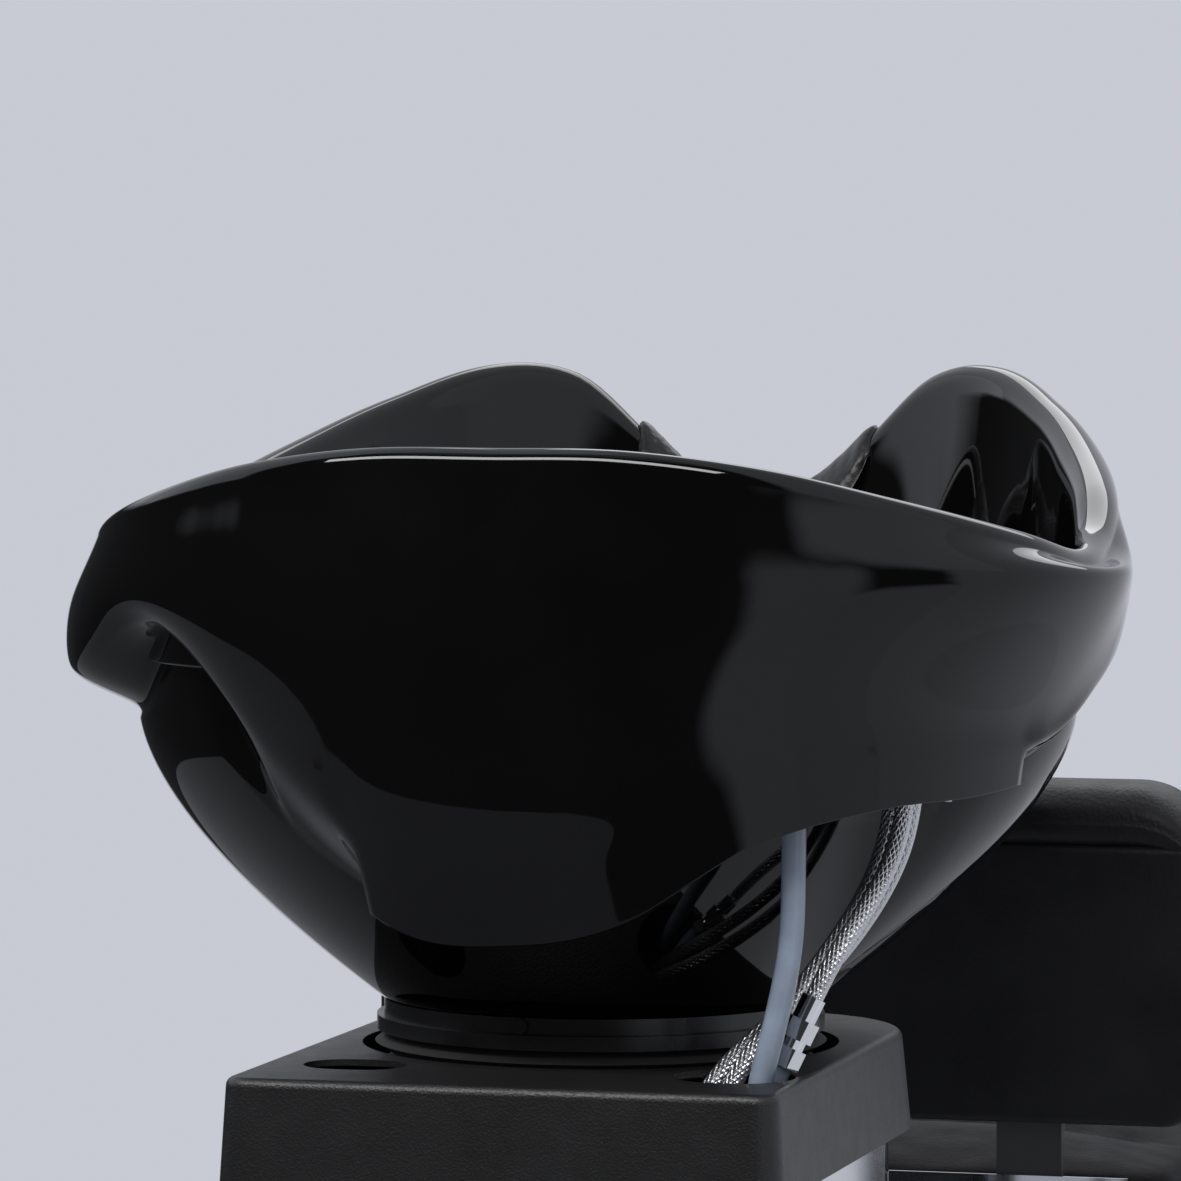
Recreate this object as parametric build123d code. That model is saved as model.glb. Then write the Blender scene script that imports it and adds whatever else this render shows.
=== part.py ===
from build123d import *
import math
import os

os.makedirs("parts", exist_ok=True)

# Hair washing bed: a ceramic basin that tilts on a pedestal, and a low-backed seat with a leg rest.
# Lengths are millimetres. X is across, Y runs from the basin's rear to the leg rest, Z is up.
# Basin sizes are measured from the centre of the tilt ring, on the pedestal cover's top.

# Overall heights
cover_top = 600.0
overrun = 1.0
touch_gap = 0.3
pin_gap = 0.05

# Basin, reaches as shares of the half width and heights as shares of the wing's height
bowl_half_width = 297.0
bowl_height = 369.0
foot_radius = 119.0
foot_height = 25.0
bore_radius = 21.0
floor_height = 46.0
floor_radius = 80.0
wall = 12.0
belly_height = 180.0
belly_power = 1.62
shelf_height = 212.0
belly_share_steps = (0.18, 0.42, 0.72)
inner_share_steps = (0.86, 0.55, 0.25)
lip_shares = (0.03, 0.03, 0.03, 0.03, 0.03, 0.03, 0.034, 0.046, 0.056, 0.052, 0.054, 0.05, 0.04, 0.033, 0.03)
section_angles = (-90, -72, -55, -38, -20, -4, 12, 26, 40, 53, 65, 73, 79, 84, 90)
rim_reach_shares = (0.727, 0.768, 0.818, 0.862, 0.896, 0.902, 0.902, 0.940, 1.010, 1.108, 1.219, 1.259,
                    1.256, 1.236, 1.226)
rim_height_shares = (0.902, 0.900, 0.875, 0.829, 0.780, 0.745, 0.765, 0.825, 0.880, 0.938, 0.988, 0.972,
                     0.880, 0.783, 0.737)
roll_reach_shares = (0.808, 0.828, 0.869, 0.916, 0.970, 0.990, 0.980, 0.995, 1.030, 1.131, 1.259, 1.306,
                     1.300, 1.273, 1.259)
roll_height_shares = (0.678, 0.678, 0.683, 0.694, 0.699, 0.699, 0.710, 0.737, 0.764, 0.786, 0.802, 0.780,
                      0.726, 0.664, 0.629)
shelf_out_shares = (0.707, 0.741, 0.781, 0.825, 0.855, 0.869, 0.862, 0.882, 0.929, 0.997, 1.081, 1.115,
                    1.115, 1.108, 1.098)
# The right side has a skirt over the hoses; the left side's belly stays bare
front_mid_reach_shares = (0.953, 0.970, 1.003, 1.091, 1.185, 1.226, 1.226, 1.205, 1.192)
front_mid_height_shares = (0.591, 0.610, 0.637, 0.650, 0.664, 0.650, 0.623, 0.591, 0.569)
front_low_reach_shares = (0.889, 0.916, 0.963, 1.030, 1.114, 1.148, 1.148, 1.138, 1.131)
front_low_height_shares = (0.504, 0.515, 0.528, 0.542, 0.556, 0.556, 0.542, 0.528, 0.515)
front_belly_shares = (0.869, 0.896, 0.943, 1.010, 1.094, 1.128, 1.128, 1.118, 1.111)
right_mid_reach_shares = (0.747, 0.781, 0.828, 0.848, 0.859, 0.886) + front_mid_reach_shares
right_mid_height_shares = (0.407, 0.455, 0.528, 0.528, 0.515, 0.520) + front_mid_height_shares
right_low_reach_shares = (0.630, 0.697, 0.781, 0.818, 0.835, 0.855) + front_low_reach_shares
right_low_height_shares = (0.190, 0.228, 0.341, 0.388, 0.398, 0.423) + front_low_height_shares
right_belly_shares = (0.673, 0.660, 0.640, 0.633, 0.640, 0.781) + front_belly_shares
left_mid_reach_shares = (0.747, 0.768, 0.801, 0.862, 0.919, 0.960) + front_mid_reach_shares
left_mid_height_shares = (0.407, 0.447, 0.515, 0.650, 0.602, 0.583) + front_mid_height_shares
left_low_reach_shares = (0.630, 0.673, 0.707, 0.805, 0.859, 0.886) + front_low_reach_shares
left_low_height_shares = (0.190, 0.211, 0.347, 0.612, 0.515, 0.493) + front_low_height_shares
left_belly_shares = (0.673, 0.684, 0.737, 0.788, 0.842, 0.865) + front_belly_shares
overlap_sections = 2
pocket_angles = (-8, -20, -38, -55, -72, -90, -106, -116)
pocket_drop = 6.0

# Neck rest, a gel pad over the lip
pad_angles = (79, 84, 90, 96, 101)
pad_thickness = 13.0
pad_gap = 0.6
pad_drop = 34.0

# Pedestal cover
cover_half_width = 150.0
cover_rear = 215.0
cover_front = 168.0
cover_height = 56.0
cover_draft = 3.0
cover_front_draft = 12.0
cover_wall = 3.5
cover_rear_corner = 14.0
cover_front_corner = 92.0
cover_edge = 5.0
dish_radius = 131.0
dish_depth = 20.0
dish_bore = 95.0
hole_left_x = -98.0
hole_right_x = 110.0
hole_y = -141.0
hole_left_length = 56.0
hole_left_width = 45.0
hole_right_length = 66.0
hole_right_width = 56.0

# Pedestal column and its base
column_inset = 7.0
column_wall = 2.0
base_thickness = 10.0
base_half_width = 178.0
base_overhang = 14.0
base_corner = 20.0
anchor_x = 162.0
anchor_rear_y = -150.0
anchor_front_y = 110.0
anchor_radius = 6.0
hatch_width = 200.0
hatch_low = 90.0
hatch_height = 380.0
hatch_lap = 12.0
hatch_thickness = 1.5
screw_head_radius = 4.5
screw_head_height = 2.4

# Post and tilt bracket
post_radius = 50.0
post_wall = 4.0
flange_radius = 88.0
flange_thickness = 8.0
bracket_thickness = 8.0
bracket_top = -45.0
hinge_height = -14.0
hinge_pin_radius = 6.0
ear_x = 66.0
ear_thickness = 10.0
ear_round = 13.0
bolt_circle = 70.0
bolt_count = 4
bolt_radius = 4.0
bolt_head_radius = 7.0
bolt_head_height = 5.0

# Tilt plate, collar and boot
plate_radius = 100.0
plate_thickness = 6.0
collar_step_radius = 123.0
collar_low = 8.0
collar_step = 16.0
collar_ledge = 4.0
collar_inner_radius = 92.0
boot_inner_radius = 106.0
boot_fold_radius = 124.0
boot_waist_radius = 113.0
collar_screw_angles = (-96, 24, 144)
collar_screw_radius = 4.0

# Waste fitting
strainer_radius = 32.0
strainer_thickness = 3.0
strainer_hole_radius = 2.5
strainer_rings = ((8, 12.5),)
waste_tail_radius = 19.5
waste_tail_wall = 2.5
waste_tail_low = -62.0
waste_nut_radius = 34.0
waste_nut_thickness = 9.0
waste_hose_radius = 20.0
waste_hose_wall = 2.5
waste_spigot_radius = 16.5
waste_spigot_wall = 2.0
waste_spigot_height = 60.0

# Mixer
mixer_reach = 209.0
mixer_angle = -24.5
mixer_base_radius = 25.0
mixer_base_height = 5.0
mixer_body_radius = 20.0
mixer_body_height = 34.0
mixer_shank_radius = 13.0
mixer_shank_drop = 28.0
mixer_nut_height = 8.0
mixer_nut_radius = 18.0
hub_radius = 20.0
hub_height = 20.0
hub_stem_radius = 8.0
hub_stem_height = 4.0
hub_dome_drop = 5.0
lever_length = 84.0
lever_width = 13.0
lever_thickness = 5.0
lever_knuckle_radius = 5.0
lever_slot_gap = 0.4
lever_pin_radius = 2.0
stud_radius = 4.0
stud_reach = 220.0
stud_angle = -19.0
stud_drop = 70.0
stud_nut_radius = 8.0
stud_nut_height = 7.0

# Hand shower and its sleeve
shower_reach = 208.0
shower_angle = -46.0
sleeve_radius = 13.5
sleeve_flange_radius = 19.0
sleeve_flange_height = 5.0
sleeve_drop = 26.0
sleeve_nut_radius = 17.0
sleeve_nut_height = 6.0
handle_radius = 11.0
handle_gap = 0.4
handle_low = 152.0
handle_high = 246.0
head_radius = 26.0
head_depth = 20.0
head_height = 262.0
head_forward = 20.0
head_lean = 55.0
spray_radius = 22.0
spray_depth = 2.0
nozzle_radius = 1.0
nozzle_rings = ((6, 7.0), (12, 14.0))
hose_nut_radius = 9.0
hose_nut_height = 14.0

# Hoses, with their routes from the ring's centre
shower_hose_diameter = 13.0
braid_diameter = 10.0
tail_run = 24.0
outlet_tail = (1.7, -6.3)
hot_tail = (-6.3, 1.7)
cold_tail = (4.6, 4.7)
shower_run = 34.0
supply_run = 60.0
hot_inlet_place = (70.0, -140.0)
cold_inlet_place = (38.0, -140.0)
shower_hose_bends = (
    (143.6, -150.2, 72.0), (137.4, -152.0, 38.0), (127.0, -151.0, 0.0), (119.0, -148.6, -46.0),
    (115.0, -150.4, -110.0), (113.0, -147.0, -200.0), (110.0, -150.0, -300.0), (108.0, -147.0, -386.0),
    (107.0, -151.0, -452.7), (105.0, -125.3, -489.5), (103.0, -82.0, -503.6), (101.0, -38.7, -489.5),
    (100.0, -13.0, -452.7), (100.6, -14.4, -390.0), (101.6, -22.0, -310.0), (103.0, -38.0, -235.0),
    (105.0, -62.0, -172.0), (108.0, -92.0, -118.0), (113.0, -120.0, -66.0),
)
outlet_hose_bends = (
    (190.4, -90.4, 136.0), (184.6, -94.0, 112.0), (173.6, -102.4, 88.0), (159.0, -117.0, 63.0),
    (149.0, -121.4, 41.0),
)
hot_hose_bends = (
    (181.6, -80.6, 134.0), (175.6, -83.0, 109.0), (164.0, -90.6, 83.0), (147.0, -101.6, 56.0),
    (127.4, -116.0, 28.0), (108.0, -129.0, 0.0), (91.0, -135.0, -44.0), (80.0, -141.0, -100.0),
    (75.0, -137.0, -180.0), (78.0, -142.0, -280.0), (73.0, -138.0, -390.0),
)
cold_hose_bends = (
    (191.0, -75.0, 136.0), (183.6, -69.6, 111.0), (170.0, -73.0, 84.0), (151.0, -85.0, 56.0),
    (125.6, -103.4, 28.0), (96.4, -121.4, 0.0), (76.0, -133.0, -40.0), (57.0, -139.0, -94.0),
    (47.0, -135.0, -170.0), (50.0, -141.0, -270.0), (42.0, -137.0, -380.0),
)
ferrule_radius = 6.6
ferrule_length = 13.0
union_length = 40.0
union_run = 26.0
union_nut_radius = 9.5
union_nut_length = 11.0
union_body_radius = 7.0
inlet_radius = 10.0
inlet_height = 50.0
tail_height = 10.0

# Seat base and link
seat_rear = 440.0
seat_front = 940.0
seat_half_width = 235.0
seat_base_low = 70.0
seat_base_high = 345.0
upstand_high = 472.0
sheet = 2.0
seat_corner = 24.0
link_half_width = 100.0
link_low = 96.0
link_height = 60.0
link_wall = 3.0
foot_pad_radius = 22.0
foot_pad_height = 14.0
foot_stem_radius = 6.0
foot_bracket = 60.0
foot_plate_thickness = 6.0
foot_inset = 42.0

# Seat
pan_inset = 14.0
pan_thickness = 15.0
cushion_rear = 458.0
cushion_front = 956.0
cushion_half_width = 232.0
cushion_thickness = 125.0
cushion_crown = 16.0
cushion_waist = 7.0
cushion_corner = 48.0
welt_share = 0.5

# Back rest
back_rear = 430.0
back_half_width = 257.0
back_low = 505.0
back_seam = 674.0
back_top = 711.0
back_board = 18.0
back_depth = 102.0
back_crown = 14.0
back_corner = 46.0
upright_x = 150.0
upright_width = 40.0
upright_thickness = 6.0
upright_high = 640.0
upright_low = 350.0

# Arm rests
arm_x = 290.0
arm_tube_radius = 12.5
arm_rear = 700.0
arm_front = 880.0
arm_low = 250.0
arm_high = 590.0
arm_bend = 42.0
arm_plate_thickness = 5.0
arm_plate_half_width = 22.0
arm_pad_rear = 520.0
arm_pad_front = 905.0
arm_pad_half_width = 33.0
arm_pad_thickness = 36.0
arm_pad_corner = 14.0

# Leg rest
leg_hinge_y = 968.0
leg_hinge_z = 372.0
leg_slope = 20.0
leg_length = 402.0
leg_half_width = 225.0
leg_board_low = 10.0
leg_board_thickness = 15.0
leg_cushion = 70.0
leg_crown = 12.0
leg_arm_x = 150.0
leg_arm_thickness = 8.0
leg_arm_width = 26.0
leg_arm_length = 240.0
leg_pin_radius = 6.0
leg_ear_thickness = 6.0
leg_ear_round = 14.0

# Where the basin stands, so that the whole part is centred along Y
rear_reach = roll_reach_shares[0] * bowl_half_width
leg_corner = leg_board_low + leg_board_thickness + touch_gap + leg_cushion
slope = math.radians(leg_slope)
front_reach = leg_hinge_y + leg_length * math.cos(slope) + leg_corner * math.sin(slope)
basin_y = (rear_reach - front_reach) / 2
basin_place = Pos(0, basin_y, cover_top)
chair_place = Pos(0, basin_y, 0)


def disc(radius, low, high, x=0, y=0):
    """A round bar or disc along Z between two heights."""
    return Pos(x, y, (low + high) / 2) * Cylinder(radius, high - low)


def tube(outer, inner, low, high, x=0, y=0):
    """A round tube along Z."""
    return disc(outer, low, high, x, y) - disc(inner, low - overrun, high + overrun, x, y)


def block(x, y, z):
    """A block between two values on each axis."""
    centre = Pos((x[0] + x[1]) / 2, (y[0] + y[1]) / 2, (z[0] + z[1]) / 2)
    return centre * Box(x[1] - x[0], y[1] - y[0], z[1] - z[0])


def hexagon(radius, low, high, x=0, y=0):
    """A hexagonal nut blank along Z."""
    return Pos(x, y, low) * extrude(RegularPolygon(radius, 6), high - low)


def polar(reach, angle, height):
    """A point at a reach and an angle round the basin's axis."""
    turn = math.radians(angle)
    return Vector(reach * math.cos(turn), reach * math.sin(turn), height)


def write(name, shape, place):
    """Write one sub-part in the part's own frame."""
    moved = place * shape
    export_step(moved, os.path.join("parts", name + ".step"))
    print(f"{name}: {len(moved.solids())} solids, {moved.volume / 1000:.1f} cm3")


# Basin


def wall_row(index, side):
    """The sizes of one section through the basin's wall, at a place in the tables."""
    if side == "right":
        tables = (right_mid_reach_shares, right_mid_height_shares, right_low_reach_shares,
                  right_low_height_shares, right_belly_shares)
    else:
        tables = (left_mid_reach_shares, left_mid_height_shares, left_low_reach_shares,
                  left_low_height_shares, left_belly_shares)
    mid_reach, mid_height, low_reach, low_height, belly = (table[index] for table in tables)
    return {
        "angle": section_angles[index],
        "lip": lip_shares[index] * bowl_half_width,
        "rim": (rim_reach_shares[index] * bowl_half_width, rim_height_shares[index] * bowl_height),
        "roll": (roll_reach_shares[index] * bowl_half_width, roll_height_shares[index] * bowl_height),
        "mid": (mid_reach * bowl_half_width, mid_height * bowl_height),
        "low": (low_reach * bowl_half_width, low_height * bowl_height),
        "belly": belly * bowl_half_width,
        "shelf": shelf_out_shares[index] * bowl_half_width,
    }


def blend_values(first, second, share):
    """Mix two rows' values."""
    if isinstance(first, tuple):
        return tuple(blend_values(a, b, share) for a, b in zip(first, second))
    return first + (second - first) * share


def row_between(angle, side):
    """The wall's sizes at any angle, mixed from the two nearest rows."""
    for index in range(len(section_angles) - 1):
        low, high = section_angles[index], section_angles[index + 1]
        if low <= angle <= high:
            share = (angle - low) / (high - low)
            first, second = wall_row(index, side), wall_row(index + 1, side)
            return {key: blend_values(first[key], second[key], share) for key in first}
    return wall_row(len(section_angles) - 1, side)


def belly_reach(belly, height):
    """The reach of the belly, which rises steeply from the foot and then turns upright."""
    share = min(1, max(0, (height - foot_height) / (belly_height - foot_height)))
    return foot_radius + (belly - foot_radius) * (1 - (1 - share) ** belly_power)


def belly_points(belly, low, high, shares, inset):
    """Points up or down the belly at shares of a stretch of its height."""
    heights = [low + (high - low) * share for share in shares]
    return [(belly_reach(belly, height) - inset, height) for height in heights]


def section_wire(row, angle):
    """A closed section of the basin's wall: belly, skirt, roll, lip, inside and floor."""
    place = lambda point: polar(point[0], angle, point[1])
    lip, rim, roll, mid, low = row["lip"], row["rim"], row["roll"], row["mid"], row["low"]
    lip_out = (rim[0] + lip, rim[1] - lip)
    lip_in = (rim[0] - lip, rim[1] - lip)
    foot = (foot_radius, foot_height)
    seat = (belly_reach(row["belly"], low[1]), low[1])
    shelf_in = (row["belly"] - wall, shelf_height)
    shelf_out = (max(row["shelf"], shelf_in[0] + wall / 2), shelf_height)
    outer = belly_points(row["belly"], foot_height, low[1], belly_share_steps, 0)
    inner = belly_points(row["belly"], floor_height, shelf_height, inner_share_steps, wall)
    floor_edge = (floor_radius, floor_height)
    edges = [
        Edge.make_line(place((bore_radius - overrun, foot_height)), place(foot)),
        Edge.make_spline([place(point) for point in [foot] + outer + [seat]]),
        Edge.make_line(place(seat), place(low)),
        Edge.make_spline([place(low), place(mid), place(roll), place(lip_out)]),
        Edge.make_three_point_arc(place(lip_out), place(rim), place(lip_in)),
        Edge.make_line(place(lip_in), place(shelf_out)),
        Edge.make_line(place(shelf_out), place(shelf_in)),
        Edge.make_spline([place(point) for point in [shelf_in] + inner + [floor_edge]]),
        Edge.make_line(place(floor_edge), place((bore_radius - overrun, floor_height))),
        Edge.make_line(place((bore_radius - overrun, floor_height)), place((bore_radius - overrun, foot_height))),
    ]
    return Wire(edges)


def basin_half(side):
    """Half of the basin, lofted past the middle at both ends so that the halves meet smoothly."""
    count = len(section_angles)
    rows = [wall_row(index, side) for index in range(count)]
    wires = [section_wire(rows[index], -180 - section_angles[index]) for index in range(overlap_sections, 0, -1)]
    wires += [section_wire(row, row["angle"]) for row in rows]
    wires += [section_wire(rows[count - 1 - index], 180 - section_angles[count - 1 - index])
              for index in range(1, overlap_sections + 1)]
    whole = Solid.make_loft(wires)
    span = 2 * bowl_half_width
    half = whole & block((0, span), (-span, span), (0, span))
    return half if side == "right" else mirror(half, Plane.YZ)


def pocket_wire(angle):
    """A section of the hollow between belly and skirt, where the hoses hang."""
    row = row_between(angle, "right") if angle >= -90 else row_between(-180 - angle, "left")
    belly, mid, low = row["belly"], row["mid"], row["low"]
    bottom, top = low[1] - pocket_drop, shelf_height - wall
    share = (top - mid[1]) / (row["roll"][1] - mid[1])
    top_out = mid[0] + (row["roll"][0] - mid[0]) * max(0, share) - wall
    inner = [(belly_reach(belly, z), z) for z in (bottom, (bottom + top) / 2, top)]
    middle = (min(mid[0], top_out + wall) + low[0]) / 2
    outer = [(top_out, top), (middle - wall, (bottom + top) / 2), (low[0] - wall, bottom)]
    place = lambda point: polar(point[0], angle, point[1])
    return Wire([
        Edge.make_spline([place(point) for point in inner]),
        Edge.make_line(place(inner[-1]), place(outer[0])),
        Edge.make_spline([place(point) for point in outer]),
        Edge.make_line(place(outer[-1]), place(inner[0])),
    ])


def basin():
    """The basin with its waste bore, skirt pocket and deck holes."""
    body = basin_half("right") + basin_half("left")
    body -= Solid.make_loft([pocket_wire(angle) for angle in pocket_angles])
    body -= disc(bore_radius, foot_height - overrun, floor_height + overrun)
    mixer_at = polar(mixer_reach, mixer_angle, 0)
    shower_at = polar(shower_reach, shower_angle, 0)
    low, high = shelf_height - wall - overrun, shelf_height + overrun
    body -= disc(mixer_shank_radius + touch_gap, low, high, mixer_at.X, mixer_at.Y)
    body -= disc(sleeve_radius + touch_gap, low, high, shower_at.X, shower_at.Y)
    stud_at = polar(stud_reach, stud_angle, 0)
    body -= disc(stud_radius + touch_gap, low, high, stud_at.X, stud_at.Y)
    return body



def neck_pad_wire(angle):
    """A section of the gel pad: a thick skin over the lip, hanging down both sides."""
    row = row_between(min(angle, 180 - angle), "right")
    lip, rim, roll = row["lip"], row["rim"], row["roll"]
    place = lambda point: polar(point[0], angle, point[1])
    near = lip + pad_gap
    far = near + pad_thickness
    lean = (rim[0] - lip - row["shelf"]) / (rim[1] - lip - shelf_height)
    drop = rim[1] - lip - pad_drop
    out = max(roll[0], rim[0] + lip) - rim[0] - lip
    inside = lean * pad_drop
    shape = [
        (rim[0] + near + out, drop), (rim[0] + near, rim[1] - lip), (rim[0], rim[1] + pad_gap),
        (rim[0] - near, rim[1] - lip), (rim[0] - near - inside, drop),
        (rim[0] - far - inside, drop), (rim[0] - far, rim[1] - lip),
        (rim[0], rim[1] + pad_gap + pad_thickness), (rim[0] + far, rim[1] - lip), (rim[0] + far + out, drop),
    ]
    points = [place(point) for point in shape]
    return Wire([
        Edge.make_line(points[0], points[1]),
        Edge.make_three_point_arc(points[1], points[2], points[3]),
        Edge.make_line(points[3], points[4]),
        Edge.make_line(points[4], points[5]),
        Edge.make_line(points[5], points[6]),
        Edge.make_three_point_arc(points[6], points[7], points[8]),
        Edge.make_line(points[8], points[9]),
        Edge.make_line(points[9], points[0]),
    ])


def neck_rest():
    """The gel pad laid over the neck recess, moulded to the lip by its own softness."""
    return Solid.make_loft([neck_pad_wire(angle) for angle in pad_angles]) - bowl


# Pedestal


def cover_outline(inset, spread):
    """The cover's plan: square corners at the rear, wide round corners toward the seat."""
    half = cover_half_width - inset + spread * cover_draft / cover_height
    rear = cover_rear - inset + spread * cover_draft / cover_height
    front = cover_front - inset + spread * cover_front_draft / cover_height
    small, large = cover_rear_corner - min(inset, cover_rear_corner / 2), cover_front_corner - inset
    with BuildLine() as line:
        FilletPolyline((-half, -rear), (half, -rear), (half, front), (-half, front),
                       radius=(small, small, large, large), close=True)
    return line.wire()


def cover_block(inset, top, bottom):
    """A tapered block of the cover's plan between two heights, the lower one wider."""
    low = Pos(0, 0, bottom) * make_face(cover_outline(inset, -bottom))
    high = Pos(0, 0, top) * make_face(cover_outline(inset, -top))
    return loft([low, high])


def hose_hole(x, length, width):
    """The cutter for one hose hole, an oblong with round ends."""
    depth = cover_edge + cover_wall
    return Pos(x, hole_y, -depth) * extrude(SlotOverall(length, width), depth + overrun)


def pedestal_cover():
    """The moulded cover: a hollow shell with a dish for the tilt ring and two hose holes."""
    outer = cover_block(0, 0, -cover_height)
    outer = fillet(outer.faces().sort_by(Axis.Z)[-1].edges(), cover_edge)
    inner = cover_block(cover_wall, -cover_wall, -cover_height - overrun)
    inner -= disc(dish_radius + cover_wall, -dish_depth - cover_wall, 0)
    body = outer - inner
    body -= disc(dish_radius, -dish_depth, overrun)
    body -= disc(dish_bore, -dish_depth - cover_wall - overrun, 0)
    body -= hose_hole(hole_left_x, hole_left_length, hole_left_width)
    return body - hose_hole(hole_right_x, hole_right_length, hole_right_width)


def column_shell(inset, low, high):
    """A solid of the column's plan."""
    return Pos(0, 0, low) * extrude(make_face(cover_outline(inset, 0)), high - low)


column_bottom = base_thickness - cover_top
hatch_bottom = hatch_low - cover_top
column_rear = -cover_rear + column_inset


def pedestal_column():
    """The polished sheet column, open at the rear behind the hatch."""
    top = -cover_wall
    body = column_shell(column_inset, column_bottom, top)
    body -= column_shell(column_inset + column_wall, column_bottom - overrun, top + overrun)
    half = hatch_width / 2 - hatch_lap
    body -= block((-half, half), (column_rear - overrun, column_rear + column_wall + overrun),
                  (hatch_bottom + hatch_lap, hatch_bottom + hatch_height - hatch_lap))
    return body


def service_hatch():
    """The hatch plate on the column's rear."""
    half = hatch_width / 2
    plate = block((-half, half), (column_rear - hatch_thickness, column_rear),
                  (hatch_bottom, hatch_bottom + hatch_height))
    return fillet(plate.edges().filter_by(Axis.Y), hatch_lap / 2)


def hatch_screws():
    """Four pan-head screws that hold the hatch."""
    half = (hatch_width - hatch_lap) / 2
    heights = (hatch_bottom + hatch_lap / 2, hatch_bottom + hatch_height - hatch_lap / 2)
    screws = []
    for x in (-half, half):
        for z in heights:
            head = Pos(x, column_rear - hatch_thickness - screw_head_height / 2, z)
            screws.append(head * Rot(90, 0, 0) * Cylinder(screw_head_radius, screw_head_height))
    return Compound(children=[rounded_head(screw) for screw in screws])


def rounded_head(screw):
    """Round the outer edge of a screw head lying along Y, toward -Y."""
    edge = screw.edges().filter_by(GeomType.CIRCLE).sort_by(Axis.Y)[0]
    return fillet(edge, screw_head_height / 2)


def base_plate():
    """The floor plate with anchor holes beside the column, and the service openings."""
    rear, front = -cover_rear - base_overhang, cover_front + base_overhang
    plate = block((-base_half_width, base_half_width), (rear, front), (-cover_top, column_bottom))
    plate = fillet(plate.edges().filter_by(Axis.Z), base_corner)
    for x in (-anchor_x, anchor_x):
        for y in (anchor_rear_y, anchor_front_y):
            plate -= disc(anchor_radius, -cover_top - overrun, column_bottom + overrun, x, y)
    plate -= disc(waste_spigot_radius, -cover_top - overrun, column_bottom + overrun)
    for x, y in (hot_inlet_place, cold_inlet_place):
        plate -= disc(inlet_radius, -cover_top - overrun, column_bottom + overrun, x, y)
    return plate


# Post and tilt joint

flange_top = bracket_top - bracket_thickness
post_top = flange_top - flange_thickness


def bolt_places():
    """The places of the bolts round the post's head."""
    return [polar(bolt_circle, (index + 0.5) * 360 / bolt_count, 0) for index in range(bolt_count)]


def support_post():
    """The tube that carries the basin, with a foot flange and a head flange."""
    post = disc(post_radius, column_bottom, flange_top)
    post += disc(flange_radius, column_bottom, column_bottom + flange_thickness)
    post += disc(flange_radius, post_top, flange_top)
    post -= disc(post_radius - post_wall, column_bottom - overrun, flange_top + overrun)
    for place in bolt_places():
        post -= disc(bolt_radius, post_top - overrun, flange_top + overrun, place.X, place.Y)
    return post


def ear(x, low, high, hole, thickness, width, rounding):
    """An upright ear across X, with a round end at the top or bottom and a pin hole."""
    flat = Plane.YZ * (Pos(0, (low + high) / 2) * Rectangle(width, high - low))
    end = Plane.YZ * (Pos(0, high) * Circle(rounding))
    body = extrude(flat, thickness / 2, both=True) + extrude(end, thickness / 2, both=True)
    body -= extrude(Plane.YZ * (Pos(0, high) * Circle(hole)), thickness, both=True)
    return Pos(x, 0, 0) * body


def tilt_bracket():
    """The fixed half of the tilt hinge, bolted on the post."""
    body = disc(flange_radius, flange_top, bracket_top) - disc(post_radius - post_wall, flange_top - overrun,
                                                               bracket_top + overrun)
    for x in (-ear_x, ear_x):
        body += ear(x, bracket_top, hinge_height, hinge_pin_radius, ear_thickness, 2 * ear_round, ear_round)
    for place in bolt_places():
        body -= disc(bolt_radius, flange_top - overrun, bracket_top + overrun, place.X, place.Y)
    return body


def bracket_bolts():
    """Bolts and nuts through the bracket and the post's head flange."""
    bolts = []
    for place in bolt_places():
        shank = disc(bolt_radius, post_top - bolt_head_height, bracket_top, place.X, place.Y)
        head = disc(bolt_head_radius, bracket_top, bracket_top + bolt_head_height, place.X, place.Y)
        nut = hexagon(bolt_head_radius, post_top - bolt_head_height, post_top, place.X, place.Y)
        bolts.append(shank + head + nut)
    return Compound(children=bolts)


inner_ear_x = ear_x - ear_thickness - touch_gap
plate_low = foot_height - plate_thickness


def tilt_plate():
    """The moving half of the tilt hinge, under the basin's foot."""
    body = disc(plate_radius, plate_low, foot_height)
    body -= disc(waste_tail_radius + touch_gap, plate_low - overrun, foot_height + overrun)
    for x in (-inner_ear_x, inner_ear_x):
        lug = ear(x, -plate_low, -hinge_height, hinge_pin_radius + pin_gap, ear_thickness,
                  2 * ear_round, ear_round)
        body += mirror(lug, Plane.XY)
    return body


def hinge_pins():
    """The two short pins of the tilt hinge, fixed in the bracket's ears."""
    low, high = inner_ear_x - ear_thickness / 2 - touch_gap, ear_x + ear_thickness / 2
    pin = Pos((low + high) / 2, 0, hinge_height) * Rot(0, 90, 0) * Cylinder(hinge_pin_radius, high - low)
    return Compound(children=[pin, mirror(pin, Plane.YZ)])


def tilt_collar():
    """The stepped ring round the tilt plate."""
    profile = Polyline(
        (collar_inner_radius, plate_low), (plate_radius, plate_low), (plate_radius, foot_height),
        (foot_radius, foot_height), (foot_radius, collar_step), (collar_step_radius, collar_step),
        (collar_step_radius, collar_low), (foot_radius - collar_ledge, collar_low),
        (foot_radius - collar_ledge, plate_low - collar_ledge), (collar_inner_radius, plate_low - collar_ledge),
        close=True)
    ring = revolve(Plane.XZ * make_face(profile), Axis.Z)
    for angle in collar_screw_angles:
        ring -= collar_screw(angle, collar_screw_radius * 0.5, collar_ledge)
    return ring


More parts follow.
